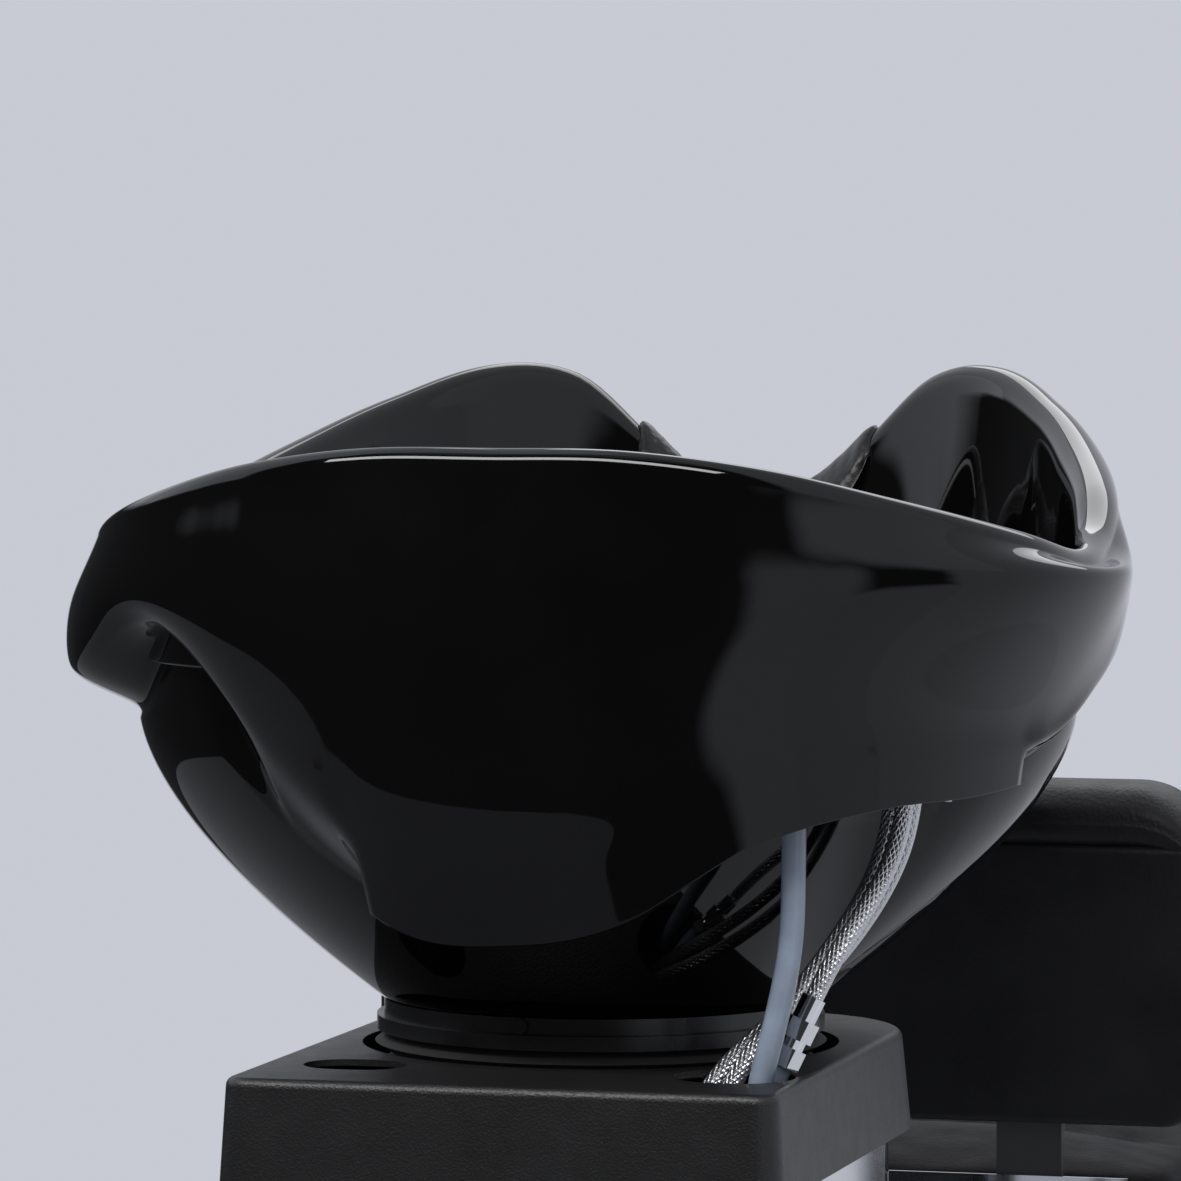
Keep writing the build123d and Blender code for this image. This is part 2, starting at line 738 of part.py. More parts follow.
def collar_screw(angle, radius, depth):
    """A small screw body lying along the collar's radius."""
    middle = (foot_height + collar_step) / 2
    place = polar(foot_radius - depth / 2, angle, middle)
    return Pos(place.X, place.Y, place.Z) * Rot(0, 0, angle) * Rot(0, 90, 0) * Cylinder(radius, depth)


def collar_screws():
    """The collar's screws, with heads that stand a little proud."""
    screws = []
    for angle in collar_screw_angles:
        shank = collar_screw(angle, collar_screw_radius * 0.5, collar_ledge)
        place = polar(foot_radius + screw_head_height / 2, angle, (foot_height + collar_step) / 2)
        head = Pos(place.X, place.Y, place.Z) * Rot(0, 0, angle) * Rot(0, 90, 0)
        screws.append(shank + head * Cylinder(collar_screw_radius, screw_head_height))
    return Compound(children=screws)


def tilt_boot():
    """The rubber boot between the cover's dish and the collar, with one full fold."""
    low, high = -dish_depth, collar_low
    quarter = (high - low) / 4
    outer = [(boot_waist_radius, high), (boot_fold_radius, high - quarter), (boot_waist_radius, high - 2 * quarter),
             (boot_fold_radius, high - 3 * quarter), (boot_fold_radius, low)]
    inner = [(boot_inner_radius, low), (boot_inner_radius, high)]
    return revolve(Plane.XZ * make_face(Polyline(*outer, *inner, close=True)), Axis.Z)


# Waste


def drain_strainer():
    """The strainer in the basin's floor, with its neck down through the tilt plate."""
    body = disc(strainer_radius, floor_height, floor_height + strainer_thickness)
    body = fillet(body.edges().sort_by(Axis.Z)[-1], strainer_thickness / 2)
    for count, reach in strainer_rings:
        for index in range(count):
            place = polar(reach, index * 360 / count, 0)
            body -= disc(strainer_hole_radius, floor_height - overrun,
                         floor_height + strainer_thickness + overrun, place.X, place.Y)
    return body


def waste_tail():
    """The waste pipe from the strainer down through the hinge."""
    return tube(waste_tail_radius, waste_tail_radius - waste_tail_wall, waste_tail_low, floor_height)


def waste_nut():
    """The nut that clamps the basin on the tilt plate."""
    nut = hexagon(waste_nut_radius, plate_low - waste_nut_thickness, plate_low)
    return nut - disc(waste_tail_radius, plate_low - waste_nut_thickness - overrun, plate_low + overrun)


waste_floor = column_bottom + tail_height


def waste_hose():
    """The flexible waste hose inside the post, which gives as the basin tilts."""
    return tube(waste_hose_radius, waste_hose_radius - waste_hose_wall, waste_floor, waste_tail_low - touch_gap)


def waste_spigot():
    """The outlet stub in the base plate."""
    high = waste_floor + waste_spigot_height
    stub = disc(waste_spigot_radius, -cover_top, high)
    collar = disc(waste_hose_radius, column_bottom, waste_floor)
    return stub + collar - disc(waste_spigot_radius - waste_spigot_wall, -cover_top - overrun, high + overrun)


# Mixer

mixer_x = polar(mixer_reach, mixer_angle, 0).X
mixer_y = polar(mixer_reach, mixer_angle, 0).Y
mixer_top = shelf_height + mixer_base_height + mixer_body_height
hub_low = mixer_top + touch_gap
hub_high = hub_low + hub_height
lever_z = hub_low + hub_height / 2


def mixer_body():
    """The mixer's fixed body, with its shank through the deck and its stem for the hub."""
    body = disc(mixer_base_radius, shelf_height, shelf_height + mixer_base_height, mixer_x, mixer_y)
    body = fillet(body.edges().sort_by(Axis.Z)[-1], mixer_base_height / 2)
    body += disc(mixer_body_radius, shelf_height + mixer_base_height, mixer_top, mixer_x, mixer_y)
    body += disc(hub_stem_radius, mixer_top, mixer_top + hub_stem_height, mixer_x, mixer_y)
    return body + disc(mixer_shank_radius, shelf_height - mixer_shank_drop, shelf_height, mixer_x, mixer_y)


def mixer_nut():
    """The nut that holds the mixer from under the deck."""
    high = shelf_height - wall
    nut = hexagon(mixer_nut_radius, high - mixer_nut_height, high, mixer_x, mixer_y)
    return nut - disc(mixer_shank_radius, high - mixer_nut_height - overrun, high + overrun, mixer_x, mixer_y)


def knuckle(radius, length):
    """A round bar along Y at the lever's pivot."""
    return Pos(mixer_x, mixer_y, lever_z) * Rot(90, 0, 0) * Cylinder(radius, length)


def mixer_hub():
    """The hub that turns for warm and cold, slotted for the lever."""
    body = disc(hub_radius, hub_low, hub_high, mixer_x, mixer_y)
    body = fillet(body.edges().sort_by(Axis.Z)[-1], hub_dome_drop)
    body -= disc(hub_stem_radius + pin_gap, hub_low - overrun, hub_low + hub_stem_height, mixer_x, mixer_y)
    half = lever_width / 2 + lever_slot_gap
    body -= block((mixer_x - hub_radius - overrun, mixer_x + lever_knuckle_radius + lever_slot_gap),
                  (mixer_y - half, mixer_y + half), (lever_z - lever_knuckle_radius, hub_high + overrun))
    return body - knuckle(lever_pin_radius, 2 * hub_radius)


def lever_pin():
    """The pin across the hub's slot."""
    return knuckle(lever_pin_radius, 2 * hub_radius - 2 * hub_dome_drop)


def mixer_lever():
    """The flat lever, which lifts to open."""
    bar_high = lever_z + lever_knuckle_radius
    bar = block((mixer_x - lever_length, mixer_x), (mixer_y - lever_width / 2, mixer_y + lever_width / 2),
                (bar_high - lever_thickness, bar_high))
    tip = bar.edges().filter_by(Axis.Z).sort_by(Axis.X)[:2]
    bar = fillet(tip, lever_width / 2 - touch_gap)
    body = bar + knuckle(lever_knuckle_radius - lever_slot_gap, lever_width)
    return body - knuckle(lever_pin_radius + pin_gap, lever_width + overrun)


stud_x = polar(stud_reach, stud_angle, 0).X
stud_y = polar(stud_reach, stud_angle, 0).Y


def fixing_stud():
    """The mixer's threaded stud beside the shank, under the skirt."""
    return disc(stud_radius, shelf_height - stud_drop, shelf_height, stud_x, stud_y)


def fixing_nut():
    """The brass nut on the stud, run up against the deck's underside washer."""
    low = shelf_height - stud_drop + stud_nut_height / 2
    nut = hexagon(stud_nut_radius, low, low + stud_nut_height, stud_x, stud_y)
    return nut - disc(stud_radius, low - overrun, low + stud_nut_height + overrun, stud_x, stud_y)


# Hand shower

shower_x = polar(shower_reach, shower_angle, 0).X
shower_y = polar(shower_reach, shower_angle, 0).Y
sleeve_top = shelf_height + sleeve_flange_height


def shower_sleeve():
    """The sleeve in the deck that the hand shower stands in."""
    body = disc(sleeve_radius, shelf_height - sleeve_drop, sleeve_top, shower_x, shower_y)
    body += disc(sleeve_flange_radius, shelf_height, sleeve_top, shower_x, shower_y)
    return body - disc(handle_radius + handle_gap, shelf_height - sleeve_drop - overrun,
                       sleeve_top + overrun, shower_x, shower_y)


def sleeve_nut():
    """The nut that holds the sleeve from under the deck."""
    high = shelf_height - wall
    nut = hexagon(sleeve_nut_radius, high - sleeve_nut_height, high, shower_x, shower_y)
    return nut - disc(sleeve_radius, high - sleeve_nut_height - overrun, high + overrun, shower_x, shower_y)


head_place = Pos(shower_x, shower_y, head_height) * Rot(0, 0, 180 + shower_angle) * Rot(0, head_lean, 0)


def hand_shower():
    """The hand shower: a handle down the sleeve and a round head leaning over the basin."""
    handle = disc(handle_radius, handle_low, handle_high, shower_x, shower_y)
    rest = disc(sleeve_radius, sleeve_top, sleeve_top + sleeve_flange_height, shower_x, shower_y)
    neck = Pos(shower_x, shower_y, handle_high) * Sphere(handle_radius)
    head = head_place * Pos(0, 0, head_forward / 2) * Cone(handle_radius, head_radius, head_forward)
    rim = head_place * Pos(0, 0, head_forward + head_depth / 4) * Cylinder(head_radius, head_depth / 2)
    face = head_place * Pos(0, 0, head_forward + head_depth / 2) * Cylinder(spray_radius, 2 * spray_depth)
    return handle + rest + neck + head + rim - face


def spray_plate():
    """The spray plate with its nozzles."""
    plate = Cylinder(spray_radius - touch_gap / 2, spray_depth)
    for count, reach in nozzle_rings:
        with PolarLocations(reach, count) as places:
            for place in places:
                plate -= place * Cylinder(nozzle_radius, spray_depth + overrun)
    return head_place * Pos(0, 0, head_forward + head_depth / 2 - spray_depth / 2) * plate


def hose_nut():
    """The nut that joins the hose to the handle."""
    high = handle_low
    return hexagon(hose_nut_radius, high - hose_nut_height, high, shower_x, shower_y)


# Hoses

inlet_top = column_bottom + inlet_height


def tail(offset):
    """The first two points of a hose under the mixer's shank."""
    x, y, high = mixer_x + offset[0], mixer_y + offset[1], shelf_height - mixer_shank_drop
    return [(x, y, high), (x, y, high - tail_run)]


def supply_route(offset, bends, place):
    """A supply hose from the mixer's shank to its inlet in the base plate."""
    x, y = place
    return tail(offset) + list(bends) + [(x, y, inlet_top + supply_run), (x, y, inlet_top)]


def union_at(distance):
    """A point on the union's axis, in line with the braided hose's last run."""
    start, before = Vector(*outlet_hose_bends[-1]), Vector(*outlet_hose_bends[-2])
    return start + (start - before).normalized() * distance


def shower_route():
    """The shower hose from the hand shower's nut down the column and up to the union."""
    high = handle_low - hose_nut_height
    start = [(shower_x, shower_y, high), (shower_x, shower_y, high - shower_run)]
    ends = [union_at(union_length + union_run), union_at(union_length)]
    return start + list(shower_hose_bends) + ends


def hose(name, route, diameter):
    """A hose as straight runs joined by the largest arcs that the runs allow."""
    points = [Vector(*point) for point in route]
    radii = []
    for before, corner, after in zip(points, points[1:], points[2:]):
        first, second = corner - before, after - corner
        half_turn = math.radians(first.get_angle(second)) / 2
        radii.append(0.45 * min(first.length, second.length) / math.tan(half_turn))
    path = FilletPolyline(*points, radius=radii)
    section = Plane(path @ 0, z_dir=path % 0) * Circle(diameter / 2)
    body = sweep(section, path=path)
    expected = math.pi * diameter ** 2 / 4 * path.length
    print(f"{name}: length {path.length:.0f} mm, least radius {min(radii):.0f}, volume over section "
          f"{body.volume / expected:.4f}")
    print("  radii", [round(radius) for radius in radii])
    return body


def along(start, end, low, high, shape):
    """A round or hexagonal piece along a line, between two distances from its start."""
    direction = (end - start).normalized()
    plane = Plane(start + direction * low, z_dir=direction)
    return extrude(plane * shape, high - low)


def on_union(low, high, shape):
    """A piece of the union, in line with the last run of the braided hose."""
    return along(union_at(0), union_at(union_length), low, high, shape)


def union_fitting():
    """The union between the braided hose and the shower hose's end: a ferrule and a sleeve."""
    body = on_union(0, ferrule_length, Circle(ferrule_radius))
    return body + on_union(ferrule_length, union_length, Circle(union_body_radius))


def union_nuts():
    """The two hexagonal nuts on the union."""
    ring = RegularPolygon(union_nut_radius, 6) - Circle(union_body_radius)
    first = on_union(ferrule_length, ferrule_length + union_nut_length, ring)
    second = on_union(union_length - union_nut_length, union_length, ring)
    return Compound(children=[first, second])


def water_inlet(place):
    """A brass stub through the base plate that a supply hose ends on."""
    x, y = place
    stub = disc(inlet_radius, -cover_top, inlet_top, x, y)
    return stub - disc(inlet_radius / 2, -cover_top - overrun, inlet_top - braid_diameter / 2, x, y)


# Seat


def rounded_box(x, y, z, corner):
    """A block with round upright corners."""
    return fillet(block(x, y, z).edges().filter_by(Axis.Z), corner)


def seat_base():
    """The polished seat base: an open-bottomed sheet box with an upstand behind the seat."""
    x = (-seat_half_width, seat_half_width)
    body = rounded_box(x, (seat_rear, seat_front), (seat_base_low, seat_base_high), seat_corner)
    inner_x = (-seat_half_width + sheet, seat_half_width - sheet)
    body -= rounded_box(inner_x, (seat_rear + sheet, seat_front - sheet),
                        (seat_base_low - overrun, seat_base_high - sheet), seat_corner - sheet)
    flat = seat_half_width - seat_corner
    body += block((-flat, flat), (seat_rear, seat_rear + sheet), (seat_base_high, upstand_high))
    return body


def link_beam():
    """The hollow beam that joins the column to the seat base."""
    front = cover_front - column_inset
    low, high = link_low, link_low + link_height
    body = block((-link_half_width, link_half_width), (front, seat_rear), (low, high))
    return body - block((-link_half_width + link_wall, link_half_width - link_wall),
                        (front - overrun, seat_rear + overrun), (low + link_wall, high - link_wall))


def foot_places():
    """The four places of the levelling feet."""
    x = seat_half_width - foot_inset
    return [(side * x, y) for side in (-1, 1) for y in (seat_rear + foot_inset, seat_front - foot_inset)]


def foot_brackets():
    """The corner plates inside the seat base that the feet screw into."""
    plates = []
    for x, y in foot_places():
        side = math.copysign(1, x)
        outer = side * (seat_half_width - sheet)
        inner = outer - side * foot_bracket
        rear = y < (seat_rear + seat_front) / 2
        near = seat_rear + sheet if rear else seat_front - sheet
        far = near + foot_bracket if rear else near - foot_bracket
        box = block(tuple(sorted((inner, outer))), tuple(sorted((near, far))),
                    (seat_base_low, seat_base_low + foot_plate_thickness))
        corner = box.edges().filter_by(Axis.Z).sort_by_distance((outer, near, seat_base_low))[0]
        box = fillet(corner, seat_corner - sheet)
        plates.append(box - disc(foot_stem_radius, seat_base_low - overrun,
                                 seat_base_low + foot_bracket, x, y))
    return Compound(children=plates)


def levelling_feet():
    """Four rubber-padded levelling feet."""
    feet = []
    for x, y in foot_places():
        pad = disc(foot_pad_radius, 0, foot_pad_height, x, y)
        pad = fillet(pad.edges().sort_by(Axis.Z)[-1], foot_pad_height / 4)
        feet.append(pad + disc(foot_stem_radius, foot_pad_height, seat_base_low + foot_bracket / 2, x, y))
    return Compound(children=feet)


def seat_pan():
    """The board under the seat cushion."""
    half = seat_half_width - pan_inset
    return rounded_box((-half, half), (cushion_rear + pan_inset, seat_front - pan_inset / 2),
                       (seat_base_high, seat_base_high + pan_thickness), seat_corner)


def cushion(half_x, half_y, thickness, corner, crown, waist):
    """A crowned cushion on its underside's centre, its sides drawn in above and below the welt."""
    def outline(inset):
        return RectangleRounded(2 * (half_x - inset), 2 * (half_y - inset), corner - inset)
    welt = thickness * welt_share
    layers = [Pos(0, 0, 0) * outline(waist), Pos(0, 0, welt) * outline(0), Pos(0, 0, thickness - crown) * outline(waist)]
    body = loft(layers[:2], ruled=True) + loft(layers[1:], ruled=True)
    dome = Pos(0, 0, thickness - crown) * loft([
        outline(waist), Pos(0, 0, crown * 0.75) * outline(corner * 0.5), Pos(0, 0, crown) * outline(corner * 0.9)],
        ruled=True)
    return body + dome


def seat_cushion():
    """The seat cushion, crowned, with a front roll."""
    pad = cushion(cushion_half_width, (cushion_front - cushion_rear) / 2, cushion_thickness,
                  cushion_corner, cushion_crown, cushion_waist)
    return Pos(0, (cushion_front + cushion_rear) / 2, seat_base_high + pan_thickness + touch_gap) * pad


# Back rest

board_front = back_rear + back_board
pad_rear = board_front + upright_thickness


def back_panel():
    """The flat rear board of the back rest, below the seam."""
    half = back_half_width
    body = block((-half, half), (back_rear, board_front), (back_low, back_seam))
    lower = body.edges().filter_by(Axis.Y).sort_by(Axis.Z)[:2]
    body = fillet(lower, back_corner / 2)
    rear = body.faces().sort_by(Axis.Y)[0]
    return fillet(rear.edges(), back_board / 4)


def back_uprights():
    """The two cranked flat bars that carry the back rest."""
    bars = []
    foot = (seat_rear + sheet, seat_rear + sheet + upright_thickness)
    for x in (-upright_x, upright_x):
        width = (x - upright_width / 2, x + upright_width / 2)
        low = block(width, foot, (upright_low, back_low))
        step = block(width, (foot[0], pad_rear), (back_low - upright_thickness, back_low))
        high = block(width, (board_front, pad_rear), (back_low - upright_thickness, upright_high))
        bars.append(low + step + high)
    return Compound(children=bars)


def back_cushion():
    """The back cushion: a crowned front and a round roll over the top that reaches the rear."""
    rear, front = pad_rear + touch_gap, back_rear + back_depth
    roll = (back_top - back_seam) / 2
    with BuildLine() as line:
        Polyline((rear, back_seam + touch_gap), (rear, back_low), (front - back_crown, back_low))
        Spline((front - back_crown, back_low), (front, (back_low + back_seam) / 2),
               (front - back_crown, back_top - roll), (front - 2 * back_crown - roll, back_top),
               tangents=[(1, 0), (-1, 0)], tangent_scalars=[0.4, 1])
        Line((front - 2 * back_crown - roll, back_top), (back_rear + roll, back_top))
        ThreePointArc((back_rear + roll, back_top), (back_rear + roll * 0.25, back_top - roll * 0.35),
                      (back_rear, back_top - 1.4 * roll))
        Polyline((back_rear, back_top - 1.4 * roll), (back_rear, back_seam + touch_gap), (rear, back_seam + touch_gap))
    profile = Plane.YZ * make_face(line.wire())
    body = extrude(profile, back_half_width, both=True)
    plan = Plane.XZ * (Pos(0, (back_low + back_top) / 2) *
                       RectangleRounded(2 * back_half_width, back_top - back_low, back_corner))
    mould = extrude(plan, -2 * front)
    return body & mould


# Arm rests


def arm_frame(side):
    """One bent tube with the plate that carries its pad."""
    inner = side * seat_half_width
    outer = side * arm_x
    points = [(inner, arm_rear, arm_low), (outer, arm_rear, arm_low), (outer, arm_rear, arm_high),
              (outer, arm_front, arm_high), (outer, arm_front, arm_low), (inner, arm_front, arm_low)]
    path = FilletPolyline(*points, radius=arm_bend)
    section = Plane(path @ 0, z_dir=path % 0) * Circle(arm_tube_radius)
    body = sweep(section, path=path)
    top = arm_high + arm_tube_radius
    plate = rounded_box((outer - arm_plate_half_width, outer + arm_plate_half_width),
                        (arm_pad_rear + arm_plate_half_width, arm_pad_front - arm_plate_half_width),
                        (top - arm_plate_thickness / 2, top + arm_plate_thickness / 2), arm_plate_half_width / 2)
    return body + plate


def arm_pad(side):
    """One padded arm rest with round edges."""
    low = arm_high + arm_tube_radius + arm_plate_thickness / 2 + touch_gap
    outer = side * arm_x
    pad = rounded_box((outer - arm_pad_half_width, outer + arm_pad_half_width), (arm_pad_rear, arm_pad_front),
                      (low, low + arm_pad_thickness), arm_pad_half_width * 0.8)
    return fillet(pad.faces().sort_by(Axis.Z)[-1].edges(), arm_pad_corner)


# Leg rest, drawn level from its hinge and then sloped to its place

leg_place = Pos(0, leg_hinge_y, leg_hinge_z) * Rot(-leg_slope, 0, 0)


def leg_brackets():
    """The two fixed hinge brackets on the seat base's front."""
    ears = []
    for side in (-1, 1):
        x = side * (leg_arm_x + leg_arm_thickness / 2 + touch_gap + leg_ear_thickness / 2)
        with BuildSketch(Plane.YZ) as sketch:
            with BuildLine():
                Polyline((leg_hinge_y, leg_hinge_z + leg_ear_round), (seat_front, seat_base_high - sheet),
                         (seat_front, seat_base_high - 4 * leg_ear_round),
                         (leg_hinge_y + leg_ear_round, leg_hinge_z), close=True)
            make_face()
            with Locations((leg_hinge_y, leg_hinge_z)):
                Circle(leg_ear_round)
                Circle(leg_pin_radius, mode=Mode.SUBTRACT)
        ears.append(Pos(x, 0, 0) * extrude(sketch.sketch, leg_ear_thickness / 2, both=True))
    return Compound(children=ears)


def leg_pins():
    """The two pins that the leg rest turns on."""
    pins = []
    low = leg_arm_x - leg_arm_thickness / 2 - touch_gap
    high = leg_arm_x + leg_arm_thickness / 2 + touch_gap + leg_ear_thickness
    for side in (-1, 1):
        middle = side * (low + high) / 2
        pins.append(Pos(middle, leg_hinge_y, leg_hinge_z) * Rot(0, 90, 0) * Cylinder(leg_pin_radius, high - low))
    return Compound(children=pins)


def leg_arms():
    """The two flat arms under the leg rest's board."""
    arms = []
    for side in (-1, 1):
        with BuildSketch(Plane.YZ) as sketch:
            with Locations((leg_arm_length / 2, leg_board_low - leg_arm_width / 2)):
                Rectangle(leg_arm_length, leg_arm_width)
            Circle(leg_ear_round)
            Circle(leg_pin_radius + pin_gap, mode=Mode.SUBTRACT)
        arms.append(Pos(side * leg_arm_x, 0, 0) * extrude(sketch.sketch, leg_arm_thickness / 2, both=True))
    return leg_place * Compound(children=arms)


def leg_board():
    """The board under the leg cushion."""
    start = 2 * leg_ear_round
    board = rounded_box((-leg_half_width + pan_inset, leg_half_width - pan_inset), (start, leg_length - pan_inset),
                        (leg_board_low, leg_board_low + leg_board_thickness), cushion_corner / 2)
    return leg_place * board


def leg_cushion_solid():
    """The crowned leg cushion."""
    start = leg_ear_round
    pad = cushion(leg_half_width, (leg_length - start) / 2, leg_cushion, cushion_corner, leg_crown,
                  cushion_waist)
    return leg_place * Pos(0, (leg_length + start) / 2, leg_board_low + leg_board_thickness + touch_gap) * pad


# Writing the sub-parts

bowl = basin()
outlet_route = tail(outlet_tail) + list(outlet_hose_bends)
hot_route = supply_route(hot_tail, hot_hose_bends, hot_inlet_place)
cold_route = supply_route(cold_tail, cold_hose_bends, cold_inlet_place)

basin_parts = {
    "bowl": lambda: bowl,
    "neck_rest": neck_rest,
    "pedestal_cover": pedestal_cover,
    "pedestal_column": pedestal_column,
    "service_hatch": service_hatch,
    "hatch_screws": hatch_screws,
    "base_plate": base_plate,
    "support_post": support_post,
    "tilt_bracket": tilt_bracket,
    "bracket_bolts": bracket_bolts,
    "tilt_plate": tilt_plate,
    "hinge_pins": hinge_pins,
    "tilt_collar": tilt_collar,
    "collar_screws": collar_screws,
    "tilt_boot": tilt_boot,
    "drain_strainer": drain_strainer,
    "waste_tail": waste_tail,
    "waste_nut": waste_nut,
    "waste_hose": waste_hose,
    "waste_spigot": waste_spigot,
    "mixer_body": mixer_body,
    "mixer_nut": mixer_nut,
    "mixer_hub": mixer_hub,
    "lever_pin": lever_pin,
    "mixer_lever": mixer_lever,
    "fixing_stud": fixing_stud,
    "fixing_nut": fixing_nut,
    "shower_sleeve": shower_sleeve,
    "sleeve_nut": sleeve_nut,
    "hand_shower": hand_shower,
    "spray_plate": spray_plate,
    "hose_nut": hose_nut,
    "union_fitting": union_fitting,
    "union_nuts": union_nuts,
    "shower_hose": lambda: hose("shower_hose", shower_route(), shower_hose_diameter),
    "outlet_hose": lambda: hose("outlet_hose", outlet_route, braid_diameter),
    "hot_hose": lambda: hose("hot_hose", hot_route, braid_diameter),
    "cold_hose": lambda: hose("cold_hose", cold_route, braid_diameter),
    "hot_inlet": lambda: water_inlet(hot_inlet_place),
    "cold_inlet": lambda: water_inlet(cold_inlet_place),
}
chair_parts = {
    "seat_base": seat_base,
    "link_beam": link_beam,
    "foot_brackets": foot_brackets,
    "levelling_feet": levelling_feet,
    "seat_pan": seat_pan,
    "seat_cushion": seat_cushion,
    "back_panel": back_panel,
    "back_uprights": back_uprights,
    "back_cushion": back_cushion,
    "arm_frame_left": lambda: arm_frame(-1),
    "arm_frame_right": lambda: arm_frame(1),
    "arm_pad_left": lambda: arm_pad(-1),
    "arm_pad_right": lambda: arm_pad(1),
    "leg_brackets": leg_brackets,
    "leg_pins": leg_pins,
    "leg_arms": leg_arms,
    "leg_board": leg_board,
    "leg_cushion": leg_cushion_solid,
}
print(f"basin_y {basin_y:.4f}")
for name, make in basin_parts.items():
    write(name, make(), basin_place)
for name, make in chair_parts.items():
    write(name, make(), chair_place)
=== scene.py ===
import math
from functools import partial

import bmesh
import bpy
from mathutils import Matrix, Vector, noise


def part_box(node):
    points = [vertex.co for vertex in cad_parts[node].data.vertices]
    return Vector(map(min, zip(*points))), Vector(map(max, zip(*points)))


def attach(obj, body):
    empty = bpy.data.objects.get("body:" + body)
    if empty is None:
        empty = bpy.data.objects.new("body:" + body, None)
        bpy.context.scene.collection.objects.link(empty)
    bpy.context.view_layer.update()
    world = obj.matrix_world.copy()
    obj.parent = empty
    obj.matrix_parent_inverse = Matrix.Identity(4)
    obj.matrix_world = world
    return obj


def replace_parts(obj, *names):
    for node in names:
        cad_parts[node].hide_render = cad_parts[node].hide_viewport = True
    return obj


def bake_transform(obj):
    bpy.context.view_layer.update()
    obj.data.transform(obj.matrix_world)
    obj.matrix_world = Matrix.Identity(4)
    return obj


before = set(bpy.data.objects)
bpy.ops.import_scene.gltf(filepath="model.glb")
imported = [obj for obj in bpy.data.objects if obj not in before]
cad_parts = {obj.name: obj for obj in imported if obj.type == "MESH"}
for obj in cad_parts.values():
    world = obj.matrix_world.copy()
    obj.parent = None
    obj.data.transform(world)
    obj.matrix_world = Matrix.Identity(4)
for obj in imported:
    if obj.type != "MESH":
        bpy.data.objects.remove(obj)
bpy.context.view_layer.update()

# Lengths here are metres in the model's frame. Basin sizes are millimetres from the centre of the
# tilt ring on the cover's top, as in the part's source, and basin_point() turns them into the frame.
MM = 0.001
ring_low, ring_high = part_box("tilt_collar")
axis_x = (ring_low[0] + ring_high[0]) / 2
axis_y = (ring_low[1] + ring_high[1]) / 2
cover_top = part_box("pedestal_cover")[1][2]

# Camera
view_azimuth = 15.0
view_pitch = 3.068
view_yaw_offset = 0.086
view_distance = 3.830
view_height = 0.4528
lens = 213.4

# Stage. A wall of the room is given by its turn from the front, its rise, its brightness and its soft edge.
floor_reach = 1.7
floor_centre = (-0.4, 0.0, 0.0)
# Painted reflection: reflections see the floor as a glow, dim in front and brighter towards the right of the
# stage, not its lit paint
floor_painted_glow_low = 0.24
floor_painted_glow_high = 0.60
floor_painted_glow_place = 0.35
floor_painted_glow_width = 0.60
backdrop = (0.575, 0.595, 0.655)
even_light = (0.40, 0.41, 0.43)
room_tint = (0.97, 1.0, 1.09)
room_dark = 0.035
room_ripple = 0.10
room_walls = (
    (79, 215, -95, 95, 0.66, 6), (-215, -152, -95, 95, 0.66, 6), (31, 59, -95, 9, 0.62, 8),
    (44, 100, -95, -9, 0.60, 6), (44, 100, 11, 95, 0.80, 8), (-116, -68, 11, 95, 1.15, 5),
    (-153, -113, 12, 95, 0.90, 7), (-215, 215, 66, 95, 0.40, 16),
)

# Lamps: the name, the place from the ring's centre and over the floor, the two sides and the power
lamps = (
    ("key", (-0.32, -1.81, 2.69), (3.0, 0.6), 80.0),
    ("rear", (0.3, 2.4, 2.6), (2.4, 1.2), 20.0),
)
lamp_aim = 0.2

# Basin's wall, as shares of the half width and of the wing's height
bowl_half_width = 297.0
bowl_height = 369.0
foot_radius = 119.0
foot_height = 25.0
bore_radius = 21.0
floor_height = 46.0
floor_radius = 80.0
wall = 12.0
belly_height = 180.0
belly_power = 1.62
shelf_height = 212.0
inner_share_steps = (0.86, 0.55, 0.25)
section_angles = (-90, -72, -55, -38, -20, -4, 12, 26, 40, 53, 65, 73, 79, 84, 90)
lip_shares = (0.03, 0.03, 0.03, 0.03, 0.03, 0.03, 0.034, 0.046, 0.056, 0.052, 0.054, 0.05, 0.04,
              0.033, 0.03)
rim_reach_shares = (0.727, 0.768, 0.818, 0.862, 0.896, 0.902, 0.902, 0.940, 1.010, 1.108, 1.219, 1.259,
                    1.256, 1.236, 1.226)
rim_height_shares = (0.902, 0.900, 0.875, 0.829, 0.780, 0.745, 0.765, 0.825, 0.880, 0.938, 0.988, 0.972,
                     0.880, 0.783, 0.737)
roll_reach_shares = (0.808, 0.828, 0.869, 0.916, 0.970, 0.990, 0.980, 0.995, 1.030, 1.131, 1.259, 1.306,
                     1.300, 1.273, 1.259)
roll_height_shares = (0.678, 0.678, 0.683, 0.694, 0.699, 0.699, 0.710, 0.737, 0.764, 0.786, 0.802, 0.780,
                      0.726, 0.664, 0.629)
left_roll_height_shares = (0.678, 0.678, 0.683, 0.690, 0.660, 0.655, 0.685, 0.732) + roll_height_shares[8:]
shelf_out_shares = (0.707, 0.741, 0.781, 0.825, 0.855, 0.869, 0.862, 0.882, 0.929, 0.997, 1.081, 1.115,
                    1.115, 1.108, 1.098)
front_mid_reach_shares = (0.953, 0.970, 1.003, 1.091, 1.185, 1.226, 1.226, 1.205, 1.192)
front_mid_height_shares = (0.591, 0.610, 0.637, 0.650, 0.664, 0.650, 0.623, 0.591, 0.569)
front_low_reach_shares = (0.889, 0.916, 0.963, 1.030, 1.114, 1.148, 1.148, 1.138, 1.131)
front_low_height_shares = (0.504, 0.515, 0.528, 0.542, 0.556, 0.556, 0.542, 0.528, 0.515)
front_belly_shares = (0.869, 0.896, 0.943, 1.010, 1.094, 1.128, 1.128, 1.118, 1.111)
